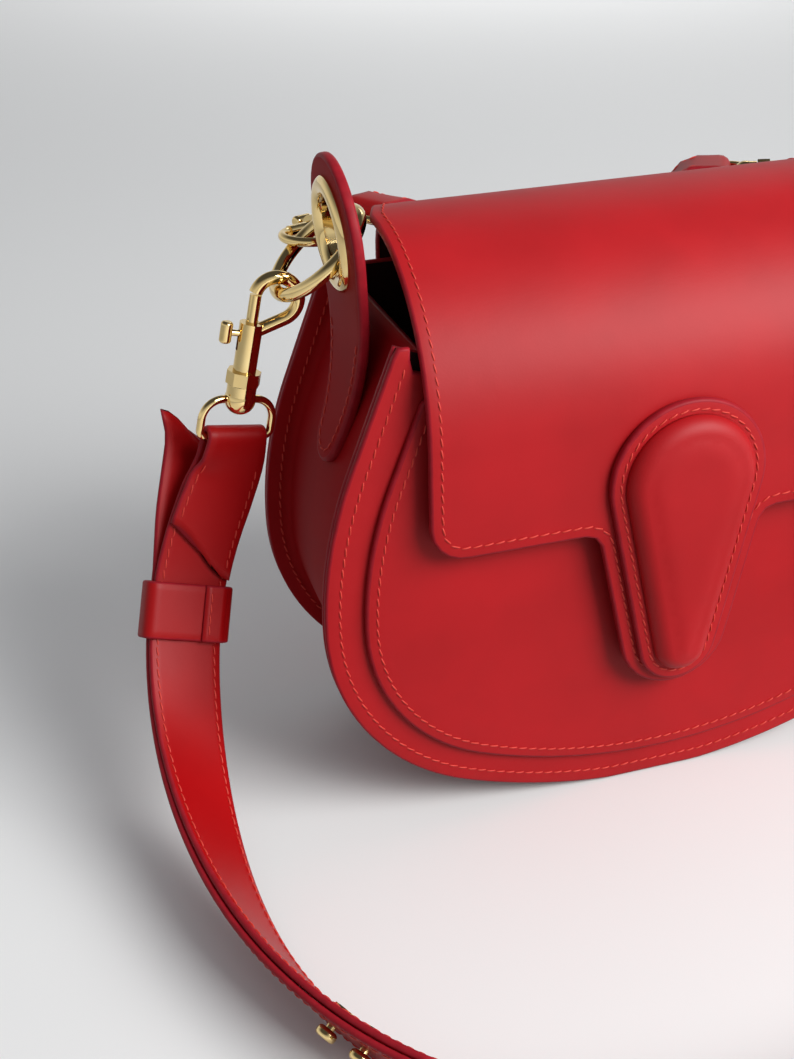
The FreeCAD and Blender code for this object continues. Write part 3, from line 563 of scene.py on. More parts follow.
def frontOverlay():
    face = facing(frontY - body["overlay"], -1)
    outline = pearOutline(body["overlayInset"], body["overlayTop"])
    piece = board("overlayLeather", outline, face, body["overlay"], body["overlayEdge"], body["mesh"],
                  [calf, edgePaint, calf])
    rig.replaces(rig.ride(piece, "bag"), "front_overlay")
    line = openRun(seamLine(outline, body["seamStep"], body["overlayStitch"]),
                   lambda u, v: v < body["overlayTop"] - body["overlayStop"])
    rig.ride(stitches("overlayStitches", *onFace(line, face)), "bag")


def gussetWall():
    # A strip bent round the pear between the panels, its borders turned out and sewn to the rims.
    y0, y1 = frontY + body["panel"], backY - body["panel"]
    lip, thin, bend = body["gusset"], body["gusset"], body["gussetBend"]
    inset, edge, cells = body["gussetInset"], body["gussetEdge"], 9
    out = [(-edge, y0), (0.0, y0 + edge), (0.0, y0 + lip - edge), (-edge, y0 + lip),
           (-inset + bend, y0 + lip)]
    out += [(-inset + bend - bend * sin(a), y0 + lip + bend - bend * cos(a)) for a in (22, 45, 68, 90)]
    across = y1 - y0 - 2 * (lip + bend)
    middle = [(-inset + body["gussetSwell"] * math.sin(math.pi * k / cells),
               y0 + lip + bend + across * k / cells) for k in range(1, cells)]
    section = out + middle + [(o, y0 + y1 - y) for o, y in reversed(out)]
    outer = len(section)
    section += [(-inset - thin, y1), (-inset - thin, (y0 + y1) / 2), (-inset - thin, y0)]
    right = pearSide(0, body["top"])
    line = spaced(np.vstack([right[::-1], right[1:] * (-1, 1)]), body["mesh"], False)
    ahead = unit(np.gradient(line, axis=0))
    outward = np.column_stack([-ahead[:, 1], ahead[:, 0]])
    if outward[len(line) // 2, 1] > 0:
        outward = -outward
    places, faces, slots = [], [], []
    for (x, z), (nx, nz) in zip(line, outward):
        places += [(x + nx * o, y, max(z + nz * o, 0)) for o, y in section]
    n = len(section)
    for k in range(len(line) - 1):
        for s in range(n):
            t = (s + 1) % n
            faces.append([k * n + s, k * n + t, (k + 1) * n + t, (k + 1) * n + s])
            painted = s < 3 or outer - 4 <= s < outer - 1
            slots.append(1 if painted else 0 if s < outer - 1 else 2)
    faces += [list(range(n)), [(len(line) - 1) * n + s for s in range(n)]]
    slots += [1, 1]
    # The outer face takes the side leather, whose darker red is painted shade
    wall = newObject("gussetLeather", places, faces, [paintedShadeSideCalf, edgePaint, suede], slots)
    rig.replaces(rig.ride(wall, "bag"), "gusset")
    # The rim thread shows again on the turned-out borders.
    for name, face in (("front", facing(y0 + lip, 1)), ("back", facing(y1 - lip, -1))):
        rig.ride(stitches("gussetStitches_" + name, *onFace(rimSeam(), face)), "bag")


flap = {"halfWidth": 88.5, "radius": 60.0, "centreY": 4.0, "centreZ": 148.5, "thick": 3.0,
        "backHalf": 74.0, "taperY": 2.0, "wingZ": 109.7, "wingCorner": 12.0, "tongueHalf": 30.1, "tipZ": 46.0,
        "tongueSlope": 12.3, "root": 6.0, "bend": 12.0, "anchorZ": 150.0, "anchorCorner": 14.0, "stitch": 4.0,
        "startZ": 30.0, "spare": 20.0, "tipEase": 0.995, "edge": 1.0, "mesh": 4.0, "seamStep": 1.5}


def flapProfile():
    # Side view of the flap's outer face: up the front, over the top, down the back. Rows: v, y, z, ny, nz.
    c = (flap["centreY"], flap["centreZ"])
    half = flap["thick"] / 2
    mid = flap["radius"] - half
    wall = backY + half
    reach = wall - flap["bend"] - c[0]
    bendDeg = math.degrees(math.acos(reach / (mid - flap["bend"])))
    bendAt = (c[0] + reach, c[1] + (mid - flap["bend"]) * sin(bendDeg))
    rows = [(c[0] - flap["radius"], z, -1.0, 0.0) for z in np.linspace(flap["startZ"], c[1], 40)[:-1]]
    rows += [(c[0] + flap["radius"] * cos(a), c[1] + flap["radius"] * sin(a), cos(a), sin(a))
             for a in np.linspace(180, bendDeg, 90)]
    outer = flap["bend"] + half
    rows += [(bendAt[0] + outer * cos(a), bendAt[1] + outer * sin(a), cos(a), sin(a))
             for a in np.linspace(bendDeg, 0, 14)[1:]]
    rows += [(wall + half, z, 1.0, 0.0)
             for z in np.linspace(bendAt[1], flap["anchorZ"] - flap["spare"], 20)[1:]]
    rows = np.array(rows)
    gone = np.concatenate([[0], np.cumsum(np.linalg.norm(np.diff(rows[:, :2], axis=0), axis=1))])
    return np.column_stack([gone + flap["startZ"], rows])


flapSide = flapProfile()


def onFlap(u, v, h):
    y, z, ny, nz = [np.interp(v, flapSide[:, 0], flapSide[:, k]) for k in range(1, 5)]
    return (u, y + ny * h, z + nz * h)


def flapEnd():
    back = flapSide[flapSide[:, 1] > backY]
    return float(np.interp(-flap["anchorZ"], -back[:, 2], back[:, 0]))


def flapOutline():
    drop = flap["wingZ"] - flap["tipZ"]
    tipHalf = flap["tongueHalf"] - drop * math.tan(math.radians(flap["tongueSlope"]))
    tipRound = tipHalf / math.tan(math.radians(90 - flap["tongueSlope"]) / 2)
    end = flapEnd()
    arch = flapSide[(flapSide[:, 0] > flap["centreZ"]) & (flapSide[:, 0] < end - flap["spare"])]
    arch = arch[arch[:, 1] > flap["taperY"]]
    share = np.clip((arch[:, 1] - flap["taperY"]) / (backY - flap["taperY"]), 0, 1)
    taper = [(flap["halfWidth"] + (flap["backHalf"] - flap["halfWidth"]) * s, v, 0)
             for s, v in zip(share[::6], arch[::6, 0])]
    half = [(tipHalf, flap["tipZ"], tipRound * flap["tipEase"]),
            (flap["tongueHalf"], flap["wingZ"], flap["root"]),
            (flap["halfWidth"], flap["wingZ"], flap["wingCorner"])] + taper
    half.append((flap["backHalf"], end, flap["anchorCorner"]))
    return roundedOutline(half + [(-u, v, r) for u, v, r in reversed(half)])


# The fold at the back of the flap, in metres: behind it the leather stays with the bag, in front it turns
hingeFrom, hingeTo = (0, 0.0455, 0.1964), (0, 0.0295, 0.1964)


def flapLeather():
    outline = flapOutline()
    skin = board("flapLeather", outline, onFlap, flap["thick"], flap["edge"], flap["mesh"],
                 [calf, edgePaint, suede])
    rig.blend(skin, "bag", "flap", hingeFrom, hingeTo)
    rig.replaces(skin, "flap", "flap_lining", "flap_anchor")
    line = seamLine(outline, flap["seamStep"], flap["stitch"])
    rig.blend(stitches("flapStitches", *onFace(line, onFlap), closed=True), "bag", "flap", hingeFrom, hingeTo)


drop = {"topRadius": 28.0, "tipRadius": 14.5, "topZ": 126.7, "tipZ": 63.5, "base": 3.0, "inset": 5.0,
        "height": 6.5, "roll": 6.4, "crown": 0.9, "stitch": 3.4, "edge": 1.1, "mesh": 3.0, "seamStep": 1.5,
        "footStep": 1.2, "crownMesh": 1.6, "crownClear": 1.0}


def teardrop():
    faceY = flap["centreY"] - flap["radius"]
    outline = twoCircleOutline(drop["topRadius"], drop["topZ"], drop["tipRadius"], drop["tipZ"])
    place = facing(faceY - drop["base"], -1)
    base = board("teardropBaseLeather", outline, place, drop["base"], drop["edge"], drop["mesh"],
                 [calf, edgePaint, calf])
    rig.replaces(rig.ride(base, "flap"), "teardrop_base")
    line = seamLine(outline, drop["seamStep"], drop["stitch"])
    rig.ride(stitches("teardropStitches", *onFace(line, place), closed=True), "flap")

    # The padding swells from the stitch line: rings climb its steep edge, then a slightly crowned face.
    foot = twoCircleOutline(drop["topRadius"] - drop["inset"], drop["topZ"],
                            drop["tipRadius"] - drop["inset"], drop["tipZ"])
    foot = anticlockwise(spaced(foot, drop["footStep"], True))
    ring = len(foot)
    places = [place(u, v, 0.0) for u, v in foot]
    faces = [list(range(ring))[::-1]]
    climb = np.linspace(0, 90, 10)[1:]
    for degrees in climb:
        line = drawnIn(foot, drop["roll"] * (1 - cos(degrees)))
        places += [place(u, v, (drop["height"] - drop["crown"]) * sin(degrees)) for u, v in line]
    for r in range(len(climb)):
        for k in range(ring):
            n = (k + 1) % ring
            faces.append([r * ring + k, r * ring + n, (r + 1) * ring + n, (r + 1) * ring + k])
    low, high = line.min(0), line.max(0)
    grid = gridPoints(low, high, drop["crownMesh"])
    grid = grid[inside(grid, drawnIn(line, drop["crownClear"]))]
    done = delaunay_2d_cdt([Vector(p) for p in np.vstack([line, grid])], [], [list(range(ring))], 1, 1e-6)
    last = len(places) - ring
    found = {}
    for index, sources in enumerate(done[3]):
        edge = [source for source in sources if source < ring]
        u, v = done[0][index]
        if edge:
            found[index] = last + edge[0]
            continue
        depth = np.min(np.linalg.norm(line - (u, v), axis=1)) / drop["roll"]
        found[index] = len(places)
        places.append(place(u, v, drop["height"] - drop["crown"] * (1 - min(1.0, depth)) ** 2))
    faces += [[found[k] for k in t] for t in done[2]]
    pad = newObject("teardropPad", places, faces, [calf])
    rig.padded(pad, fill=0.85)
    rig.replaces(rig.ride(pad, "flap"), "teardrop_pad")


tab = {"thick": 3.6, "topRadius": 25.6, "tipRadius": 11.0, "tipZ": 137.0, "leave": 21.5, "bend": 105.0,
       "lean": 5.0, "eyeletZ": 204.2, "hole": 12.9, "stitch": 3.4, "stitchTop": 172.0, "edge": 1.2,
       "mesh": 2.5, "seamStep": 1.5}


def tabProfile(z):
    # Middle of the left tab's thickness at a height, and its outward direction.
    # It lies on the gusset, goes round a bend and then stands up.
    low = body["side"] - body["gussetInset"] + tab["thick"] / 2
    foot = (-sideX, body["widest"])
    away = low + tab["bend"]
    bend = (foot[0] - away * cos(tab["leave"]), foot[1] + away * sin(tab["leave"]))
    leaveZ = foot[1] + low * sin(tab["leave"])
    straightZ = bend[1] + tab["bend"] * sin(tab["lean"])
    if z < leaveZ:
        angle = math.degrees(math.asin((z - foot[1]) / low))
        return (foot[0] - low * cos(angle), z), (-cos(angle), sin(angle))
    if z < straightZ:
        angle = math.degrees(math.asin((z - bend[1]) / tab["bend"]))
        return (bend[0] + tab["bend"] * cos(angle), z), (-cos(angle), -sin(angle))
    x = bend[0] + tab["bend"] * cos(tab["lean"]) - (z - straightZ) * math.tan(math.radians(tab["lean"]))
    return (x, z), (-cos(tab["lean"]), -sin(tab["lean"]))


def sideTabs():
    outline = twoCircleOutline(tab["topRadius"], tab["eyeletZ"], tab["tipRadius"], tab["tipZ"])
    for side, mirror in (("left", 1), ("right", -1)):
        def place(u, v, h):
            (x, z), (nx, nz) = tabProfile(v)
            away = tab["thick"] / 2 + h
            return ((x + nx * away) * mirror, u, z + nz * away)
        # Both tabs take the side leather, whose darker red is painted shade
        piece = board("tabLeather_" + side, outline, place, tab["thick"], tab["edge"], tab["mesh"],
                      [paintedShadeSideCalf, edgePaint, paintedShadeSideCalf], hole=((0, tab["eyeletZ"]), tab["hole"]))
        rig.replaces(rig.ride(piece, "bag"), "tab_" + side)
        line = openRun(seamLine(outline, tab["seamStep"], tab["stitch"]), lambda u, v: v < tab["stitchTop"])
        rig.ride(stitches("tabStitches_" + side, *onFace(line, place)), "bag")


pocket = {"half": 66.0, "low": 34.0, "high": 118.0, "corner": 16.0, "topCorner": 2.0, "thick": 1.8,
          "edge": 0.6, "mesh": 5.0}


def innerPocket():
    half, low, high = pocket["half"], pocket["low"], pocket["high"]
    outline = roundedOutline([(-half, low, pocket["corner"]), (half, low, pocket["corner"]),
                              (half, high, pocket["topCorner"]), (-half, high, pocket["topCorner"])])
    face = facing(backY - body["panel"] - pocket["thick"], -1)
    piece = board("pocketLeather", outline, face, pocket["thick"], pocket["edge"], pocket["mesh"],
                  [suede, edgePaint, suede])
    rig.replaces(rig.ride(piece, "bag"), "inner_pocket")


frontPanel()
backPanel()
frontOverlay()
gussetWall()
flapLeather()
teardrop()
sideTabs()
innerPocket()
print("body leather ready")


def smoothLine(places):
    # A smooth line through places, leaving and arriving along its first and last chords, as fine points.
    places = np.array(places, float)
    step = np.linalg.norm(np.diff(places, axis=0), axis=1)
    n = len(places)
    matrix, right = np.zeros((n, n)), np.zeros((n, 3))
    matrix[0, 0] = matrix[-1, -1] = 1
    right[0], right[-1] = (places[1] - places[0]) / step[0], (places[-1] - places[-2]) / step[-1]
    for i in range(1, n - 1):
        matrix[i, i - 1:i + 2] = step[i], 2 * (step[i - 1] + step[i]), step[i - 1]
        right[i] = 3 * (step[i] * (places[i] - places[i - 1]) / step[i - 1]
                        + step[i - 1] * (places[i + 1] - places[i]) / step[i])
    slope = np.linalg.solve(matrix, right)
    points = []
    for i in range(n - 1):
        for t in np.linspace(0, 1, 40, endpoint=i == n - 2):
            a, b = (1 + 2 * t) * (1 - t) ** 2, t * (1 - t) ** 2
            c, d = t * t * (3 - 2 * t), t * t * (t - 1)
            points.append(a * places[i] + b * step[i] * slope[i]
                          + c * places[i + 1] + d * step[i] * slope[i + 1])
    return np.array(points)


class Route:
    # A strap's middle line, and how the strap turns from its ends' direction to its middle's.
    haste = 1.7

    def __init__(self, places, startAcross, middleAcross):
        self.points = smoothLine(places)
        gone = np.linalg.norm(np.diff(self.points, axis=0), axis=1)
        self.at = np.concatenate([[0], np.cumsum(gone)])
        self.length = self.at[-1]
        self.ahead = unit(np.gradient(self.points, axis=0))
        self.startAcross, self.middleAcross = np.array(startAcross, float), middleAcross

    def frame(self, distance):
        place = np.array([np.interp(distance, self.at, self.points[:, k]) for k in range(3)])
        along = unit(np.array([np.interp(distance, self.at, self.ahead[:, k]) for k in range(3)]))
        share = 1 - abs(1 - 2 * distance / self.length)
        turn = min(1, share * self.haste)
        ease = turn * turn * (3 - 2 * turn)
        end = self.startAcross * ((1, 1, 1) if distance <= self.length / 2 else (-1, 1, 1))
        across = end * (1 - ease) + self.middleAcross(along) * ease
        across = unit(across - along * (across @ along))
        return place, along, across, np.cross(along, across)


bandEdge = 0.8


def band(name, stations, thick, materials, closed=False):
    # A strap with softly rounded painted edges. A station is place, along, across, face, width and skew.
    flat = [-1, -0.75, -0.4, 0, 0.4, 0.75, 1]
    section = [(s, 0.0, 1) for s in flat]
    section += [(1, bandEdge * sin(a), cos(a)) for a in (45, 90, 135)]
    section += [(-s, 0.0, -1) for s in flat]
    section += [(-1, -bandEdge * sin(a), -cos(a)) for a in (45, 90, 135)]
    n = len(section)
    places, faces, slots = [], [], []
    for place, along, across, face, width, skew in stations:
        for s, out, layer in section:
            u = s * (width / 2 - bandEdge) + out
            slant = skew * sin(180 * u / width)
            places.append(place + across * u + face * (layer * thick / 2) + along * slant)
    total = len(stations)
    for k in range(total if closed else total - 1):
        m = (k + 1) % total
        for s in range(n):
            t = (s + 1) % n
            faces.append([k * n + s, k * n + t, m * n + t, m * n + s])
            slots.append(0 if s % (n // 2) < len(flat) - 1 else 1)
    if not closed:
        faces += [list(range(n)), [(total - 1) * n + s for s in range(n)]]
        slots += [1, 1]
    return newObject(name, places, faces, materials, slots)


def bandStitches(name, stations, thick, inset, faceWay=1):
    # A row along each edge of one face.
    lines = []
    for side in (-1, 1):
        places = [p + c * (side * (w / 2 - inset)) + f * (faceWay * thick / 2) + a * (k * side)
                  for p, a, c, f, w, k in stations]
        ups = [f * faceWay for p, a, c, f, w, k in stations]
        lines.append(stitches(name + ("Low" if side < 0 else "High"), np.array(places), np.array(ups)))
    return lines


hooks = {"ringX": 103.1, "ringY": 16.0, "ringZ": 193.9, "ringSlope": 40.0, "ringRadius": 18.5, "bow": 7.5,
         "bowWire": 2.3, "ringWire": 2.4, "hang": 0.3, "offset": 7.2, "strapLean": 12.9, "strapLength": 50.0,
         "strapTurn": 78.0, "yaw": 30.0, "pitch": -3.0, "handleBow": 9.4, "inStep": 2.6, "back": 1.2,
         "handleLength": 40.0, "wrap": 1.7}
strapUp = np.array((sin(hooks["strapLean"]), 0, cos(hooks["strapLean"])))
strapIn = np.array((cos(hooks["strapLean"]), 0, -sin(hooks["strapLean"])))
strapSide = np.cross(strapUp, strapIn)
strapStart = -strapIn * sin(hooks["strapTurn"]) - strapSide * cos(hooks["strapTurn"])
strapFace = strapSide * sin(hooks["strapTurn"]) - strapIn * cos(hooks["strapTurn"])
ringEnd = np.array((-hooks["ringX"] - hooks["ringRadius"] * cos(hooks["ringSlope"]), hooks["ringY"],
                    hooks["ringZ"] - hooks["ringRadius"] * sin(hooks["ringSlope"])))
strapEye = ringEnd - strapUp * (hooks["bow"] - hooks["bowWire"] - hooks["ringWire"] - hooks["hang"])
strapBar = strapEye - strapIn * hooks["offset"] - strapUp * hooks["strapLength"]
handleUp = np.array((-cos(hooks["yaw"]) * cos(hooks["pitch"]), -sin(hooks["yaw"]) * cos(hooks["pitch"]),
                     -sin(hooks["pitch"])))
handleIn = np.array((sin(hooks["yaw"]), -cos(hooks["yaw"]), 0))
handleEye = np.array((-hooks["ringX"] + hooks["inStep"],
                      hooks["ringY"] + hooks["ringRadius"] + hooks["back"], hooks["ringZ"]))
handleBar = (handleEye - handleIn * (hooks["offset"] + hooks["handleBow"] - hooks["bow"])
             - handleUp * hooks["handleLength"])

# What the folded ends share: where a fold has closed and where it leaves the bar, as shares of its length,
# and over how many times its own depth a slanted cut eases out
foldShape = {"closed": 0.5, "barShare": 0.04, "slantRun": 4}

strap = {"width": 27.0, "foldWidth": 22.0, "thick": 2.2, "gap": 0.35, "spread": 168.0, "reach": 212.0,
         "floor": 0.3, "lean": 29.0, "fold": 44.0, "short": 272.0, "merge": 130.0, "tailShare": 0.12,
         "tailSpread": 15.0, "tailShift": 10.0, "tailBow": 1.3, "cut": -8.0, "lead": 9.0, "stitch": 2.6,
         "coveredX": -140.0, "coveredY": -150.0, "keeperAt": 66.0, "keeperHeight": 20.0, "keeperThick": 1.8,
         "keeperRoom": 0.95, "keeperShift": 0.4, "keeperRound": 2.6, "keeperStep": 1.2, "lapThick": 1.3,
         "lapFrom": 0.3, "lapSeam": 2.2, "lapSeamHalf": 0.38,
         "way": [(0.868, -0.073, 0.800), (0.952, -0.019, 0.526), (0.994, 0.108, 0.230), (0.985, 0.340, 0.045),
                 (0.899, 0.604, 0.0), (0.667, 0.849, 0.0), (0.340, 0.965, 0.0)]}


def bothSides(places, middle):
    return np.array(list(places) + [middle] + [(-x, y, z) for x, y, z in reversed(places)])


def strapAcross(along):
    level = unit((along[0], along[1], 0))
    return np.array((level[1], -level[0], 0)) * sin(strap["lean"]) + np.array((0, 0, 1)) * cos(strap["lean"])


def strapRoute():
    frontZ = (strap["floor"] + strap["width"] / 2 * cos(strap["lean"])
              + (strap["thick"] * 1.5 + strap["gap"]) * sin(strap["lean"]))
    start = strapBar + strapFace * (hooks["wrap"] + strap["thick"] / 2)
    rise = start[2] - frontZ
    places = [start, start - strapUp * strap["lead"] / 2, start - strapUp * strap["lead"]]
    places += [(-x * strap["spread"], -y * strap["reach"], frontZ + z * rise) for x, y, z in strap["way"]]
    return Route(bothSides(places, (0, -strap["reach"], frontZ)), strapStart, strapAcross)


def slantLength(cut):
    return foldShape["slantRun"] * abs(cut)


def foldStations(route, atEnd, thick, size, narrow, foldLength, cut):
    # The strap's end goes round the hook's bar and lies back under the strap.
    # The stations run from its tip to the bar.
    wrap = hooks["wrap"] + thick / 2
    place, along, across, face = route.frame(route.length if atEnd else 0)
    away = along if atEnd else -along
    bar = place - face * wrap
    stations = []
    for share in np.linspace(1, foldShape["barShare"], 14):
        distance = foldLength * share
        here, run, wide, up = route.frame(route.length - distance if atEnd else distance)
        shut = min(1, share / foldShape["closed"])
        closing = shut * shut * (3 - 2 * shut)
        gap = 2 * wrap * (1 - closing) + (thick + strap["gap"]) * closing
        skew = 0
        if cut:
            skew = (-cut if atEnd else cut) * max(0, 1 - foldLength * (1 - share) / slantLength(cut))
        stations.append((here - up * gap, run, wide, -up, narrow + (size - narrow) * shut, skew))
    for degrees in np.linspace(180, 0, 9)[:-1]:
        spoke = face * cos(degrees) + away * sin(degrees)
        stations.append((bar + spoke * wrap, np.cross(across, spoke), across, spoke, narrow, 0))
    return stations


def runStations(route, start, end, offsetAt, size, narrow, foldLength, step=4.0):
    stations = []
    for distance in np.linspace(start, end, max(2, round((end - start) / step)) + 1):
        place, along, across, face = route.frame(distance)
        near = min(distance, route.length - distance)
        width = narrow + (size - narrow) * min(1, near / (foldLength * foldShape["closed"]))
        out, sideways = offsetAt(distance)
        stations.append((place + face * out + across * sideways, along, across, face, width, 0))
    return stations


def skewed(stations, cut):
    # Slants the free end at the first station and eases it out over the next few.
    first = stations[0][0]
    done = []
    for station in stations:
        share = max(0, 1 - np.linalg.norm(station[0] - first) / slantLength(cut))
        done.append(station[:5] + (cut * share,))
    return done


def shoulderStrap():
    route = strapRoute()
    thick, layer = strap["thick"], strap["thick"] + strap["gap"]
    size = (strap["width"], strap["foldWidth"], strap["fold"])
    fold = foldStations(route, False, thick, *size, strap["cut"])
    run = runStations(route, 0, strap["short"], lambda d: (0, 0), *size)
    finish = [strapCalf, edgePaint]
    short = band("strapShortLeather", fold + run, thick, finish)
    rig.replaces(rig.ride(short, "strap"), "strap_short")
    keeperStart = strap["keeperAt"] - strap["keeperHeight"] / 2

    def longOffset(distance):
        tail = max(0, 1 - distance / keeperStart)
        merge = min(1, max(0, (distance - strap["short"]) / strap["merge"]))
        away = tail ** strap["tailBow"]
        out = layer * (1 - merge * merge * (3 - 2 * merge)) + strap["tailSpread"] * away
        return out, strap["tailShift"] * away

    tailStart = strap["fold"] * strap["tailShare"]
    longRun = skewed(runStations(route, tailStart, route.length, longOffset, *size), strap["cut"])
    endFold = foldStations(route, True, thick, *size, strap["cut"])
    long = band("strapLongLeather", longRun + endFold[::-1], thick, finish)
    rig.replaces(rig.ride(long, "strap"), "strap_long")

    # Rows stop short of the ends, and the long piece has none inside where the short piece covers it.
    inset = strap["stitch"]
    bare = [s for s in longRun if s[0][0] > strap["coveredX"] or s[0][1] < strap["coveredY"]]
    rows = bandStitches("strapShortInnerStitches", run[2:], thick, inset, -1)
    rows += bandStitches("strapFoldStitches", fold[1:11], thick, inset, 1)
    rows += bandStitches("strapOuterStitches", longRun[1:-2], thick, inset, 1)
    rows += bandStitches("strapLongInnerStitches", bare[:-2], thick, inset, -1)
    for row in rows:
        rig.ride(row, "strap")

    place, along, across, face = route.frame(strap["keeperAt"])
    middle = place + face * (layer / 2 - strap["keeperShift"])
    room, wall = strap["keeperRoom"], strap["keeperThick"]
    halfW = strap["width"] / 2 + room + wall / 2
    halfT = (thick + layer) / 2 + room + wall / 2
    bend = strap["keeperRound"]
    corners = [(-halfW, -halfT, bend), (halfW, -halfT, bend), (halfW, halfT, bend), (-halfW, halfT, bend)]
    ring = spaced(roundedOutline(corners), strap["keeperStep"], True)
    ahead = unit(np.roll(ring, -1, axis=0) - np.roll(ring, 1, axis=0))
    stations = []
    for (u, t), (du, dt) in zip(ring, ahead):
        stations.append((middle + across * u + face * t, across * du + face * dt, along,
                         across * dt - face * du, strap["keeperHeight"], 0))
    keeper = band("keeperLeather", stations, wall, finish, closed=True)
    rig.replaces(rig.ride(keeper, "keeper"), "strap_keeper")

    # One end of the keeper laps over the other on the inner face, with a short row of stitches.
    lap, lapEnd = strap["lapThick"], halfW - strap["keeperRound"]
    stations = [(middle + across * u - face * (halfT + (wall + lap) / 2), -across, along, -face,
                 strap["keeperHeight"], 0) for u in np.linspace(-strap["lapFrom"] * halfW, -lapEnd, 5)]
    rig.ride(band("keeperLap", stations, lap, finish), "keeper")
    seam = np.linspace(-strap["lapSeamHalf"], strap["lapSeamHalf"], 9) * strap["keeperHeight"]
    seamAt = middle - across * (strap["lapFrom"] * halfW + strap["lapSeam"]) - face * (halfT + wall / 2 + lap)
    places = [seamAt + along * t for t in seam]
    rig.ride(stitches("keeperStitches", np.array(places), np.array([-face] * len(seam))), "keeper")


handle = {"width": 20.0, "thick": 3.0, "drop": 96.0, "backY": 68.0, "fold": 30.0, "lead": 9.0, "stitch": 2.6,
          "way": [(0.70, 0.70, 0.16), (0.60, 0.90, 0.46), (0.45, 1.0, 0.77), (0.24, 1.0, 0.95)]}


def topHandle():
    thick = handle["thick"]
    start = handleBar + np.cross(handleUp, handleIn) * (hooks["wrap"] + thick / 2)
    back = handle["backY"] - start[1]
    places = [start, start - handleUp * handle["lead"] / 2, start - handleUp * handle["lead"]]
    places += [(x * start[0], start[1] + y * back, start[2] - z * handle["drop"])
               for x, y, z in handle["way"]]
    route = Route(bothSides(places, (0, handle["backY"], start[2] - handle["drop"])), -handleIn,
                  lambda along: np.array((0, 1, 0)))
    size = (handle["width"], handle["width"], handle["fold"])
    first = foldStations(route, False, thick, *size, 0)
    run = runStations(route, 0, route.length, lambda d: (0, 0), *size)
    last = foldStations(route, True, thick, *size, 0)
    leather = band("handleLeather", first + run + last[::-1], thick, [strapCalf, edgePaint])
    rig.replaces(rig.ride(leather, "handle"), "handle_strap")
    for row in bandStitches("handleStitches", run[2:-2], thick, handle["stitch"], 1):
        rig.ride(row, "handle")


shoulderStrap()
topHandle()
print("straps ready")

for name, obj in nodes.items():
    if obj.hide_render:
        continue
    obj.data.materials.clear()
    obj.data.materials.append(nickel if "magnet" in name else goldPlate)
print("hardware ready")

studio = {"floorHalf": 3.0, "floorZ": -0.0005, "floorRough": 0.7, "floor": "#EDEDEC", "bounce": "#9A9A9A",
          "wall": "#D6D7D8", "overhead": "#4A4A4C", "wallShare": (0.2, 0.7), "softLow": "#4C4D50",
          "softHigh": "#A9ABAE", "softShare": (0, 0.75)}


def seenRays(tree):
    # One where the camera looks, straight on or by way of metal, and zero for the light on the leather.
    path = addNode(tree, "ShaderNodeLightPath").outputs
    mirrored = addNode(tree, "ShaderNodeMath", {0: path["Is Glossy Ray"], 1: path["Is Transmission Ray"]},
                       operation="MAXIMUM")
    return addNode(tree, "ShaderNodeMath", {0: path["Is Camera Ray"], 1: mirrored.outputs[0]},
                   operation="MAXIMUM").outputs[0]


def heightRamp(tree, low, high, start, end):
    # A colour that changes with how high the sky is looked at.
    way = addNode(tree, "ShaderNodeTexCoord").outputs["Generated"]
    height = addNode(tree, "ShaderNodeSeparateXYZ", {"Vector": way}).outputs["Z"]
    return twoTone(tree, height, low, high, start, end)


def setStage():
    bpy.ops.mesh.primitive_plane_add(size=2 * studio["floorHalf"], location=(0, 0, studio["floorZ"]))
    floor = bpy.context.object
    floor.name = "floor"
    material, tree, shader = newMaterial("matt white paper")
    # The paper looks white to the camera and throws less light back onto the leather.
    paper = addNode(tree, "ShaderNodeMixRGB", {"Fac": seenRays(tree)}, Color1=linear(studio["bounce"]),
                    Color2=linear(studio["floor"]))
    tree.links.new(paper.outputs["Color"], shader.inputs["Base Color"])
    shader.inputs["Roughness"].default_value = studio["floorRough"]
    floor.data.materials.append(material)
    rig.stage(floor)

    world = bpy.data.worlds.new("studio")
    bpy.context.scene.world = world
    world.use_nodes = True
    tree = world.node_tree
    tree.nodes.clear()
    # A pale wall round about and a dim ceiling, which gives the metal its dark lines.
    # The light on the leather is softer.
    soft = addNode(tree, "ShaderNodeBackground",
                   {"Color": heightRamp(tree, studio["softLow"], studio["softHigh"], *studio["softShare"])})
    wall = addNode(tree, "ShaderNodeBackground",
                   {"Color": heightRamp(tree, studio["wall"], studio["overhead"], *studio["wallShare"])})
    mix = addNode(tree, "ShaderNodeMixShader", {0: seenRays(tree), 1: soft.outputs[0], 2: wall.outputs[0]})
    addNode(tree, "ShaderNodeOutputWorld", {"Surface": mix.outputs[0]})


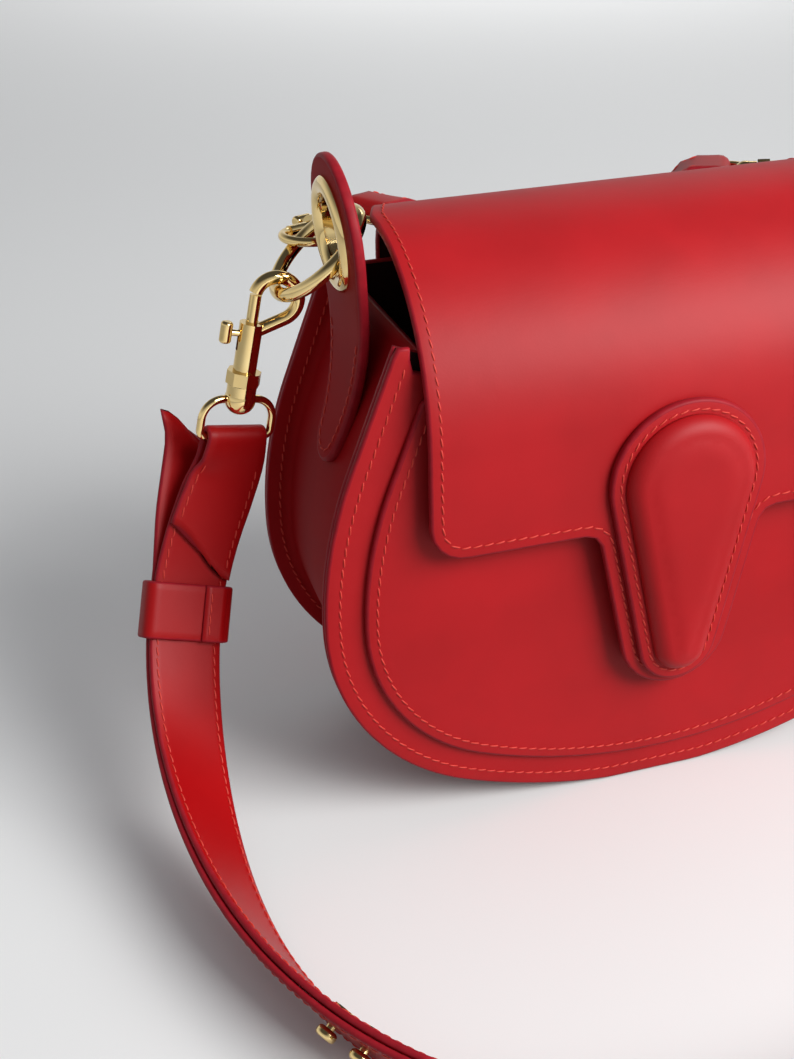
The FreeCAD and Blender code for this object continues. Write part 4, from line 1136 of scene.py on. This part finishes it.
# Soft daylight from the right, in front of the bag
window = {"name": "window", "place": (0.82, -1.12, 1.0), "target": (0.05, 0, 0.1), "size": (1.2, 0.9),
          "power": 37, "spread": 180}
# A low glow far behind, which pales the upper part of the background
wallLight = {"name": "wall light", "place": (1.1, 2.6, 1.6), "target": (0.6, 2.3, 0), "size": (1.8, 0.6),
             "power": 9, "spread": 100}


def areaLamp(look):
    lamp = bpy.data.lights.new(look["name"], "AREA")
    lamp.shape = "RECTANGLE"
    lamp.size, lamp.size_y = look["size"]
    lamp.energy = look["power"]
    lamp.spread = math.radians(look["spread"])
    obj = bpy.data.objects.new(look["name"], lamp)
    obj.location = look["place"]
    way = Vector(look["target"]) - Vector(look["place"])
    obj.rotation_euler = way.to_track_quat("-Z", "Y").to_euler()
    bpy.context.scene.collection.objects.link(obj)


setStage()
areaLamp(window)
areaLamp(wallLight)


# The camera found from the photograph's own lines
eye = {"place": (-213.3, -442.75, 337.0), "az": 16.37, "pitch": 27.76, "roll": -1.86, "focal": 1457.94,
       "long": 1059, "sensor": 36}


def setCamera():
    a, p, r = eye["az"], eye["pitch"], eye["roll"]
    forward = Vector((sin(a) * cos(p), cos(a) * cos(p), -sin(p)))
    right = Vector((cos(a), -sin(a), 0))
    up = right.cross(forward)
    rightRolled = right * cos(r) + up * sin(r)
    upRolled = -right * sin(r) + up * cos(r)
    camera = bpy.data.cameras.new("camera")
    camera.sensor_fit = "AUTO"
    camera.sensor_width = eye["sensor"]
    camera.lens = eye["focal"] / eye["long"] * eye["sensor"]
    camera.clip_start = 0.01
    obj = bpy.data.objects.new("camera", camera)
    turn = Matrix((rightRolled, upRolled, -forward)).transposed().to_4x4()
    obj.matrix_world = Matrix.Translation(Vector(eye["place"]) * mm) @ turn
    bpy.context.scene.collection.objects.link(obj)
    bpy.context.scene.camera = obj


setCamera()
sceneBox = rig.bounds()
with open("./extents.json", "w") as out:
    json.dump({"cad": [list(c) for c in cadBox], "scene": [list(c) for c in sceneBox]}, out)
print("scene ready")
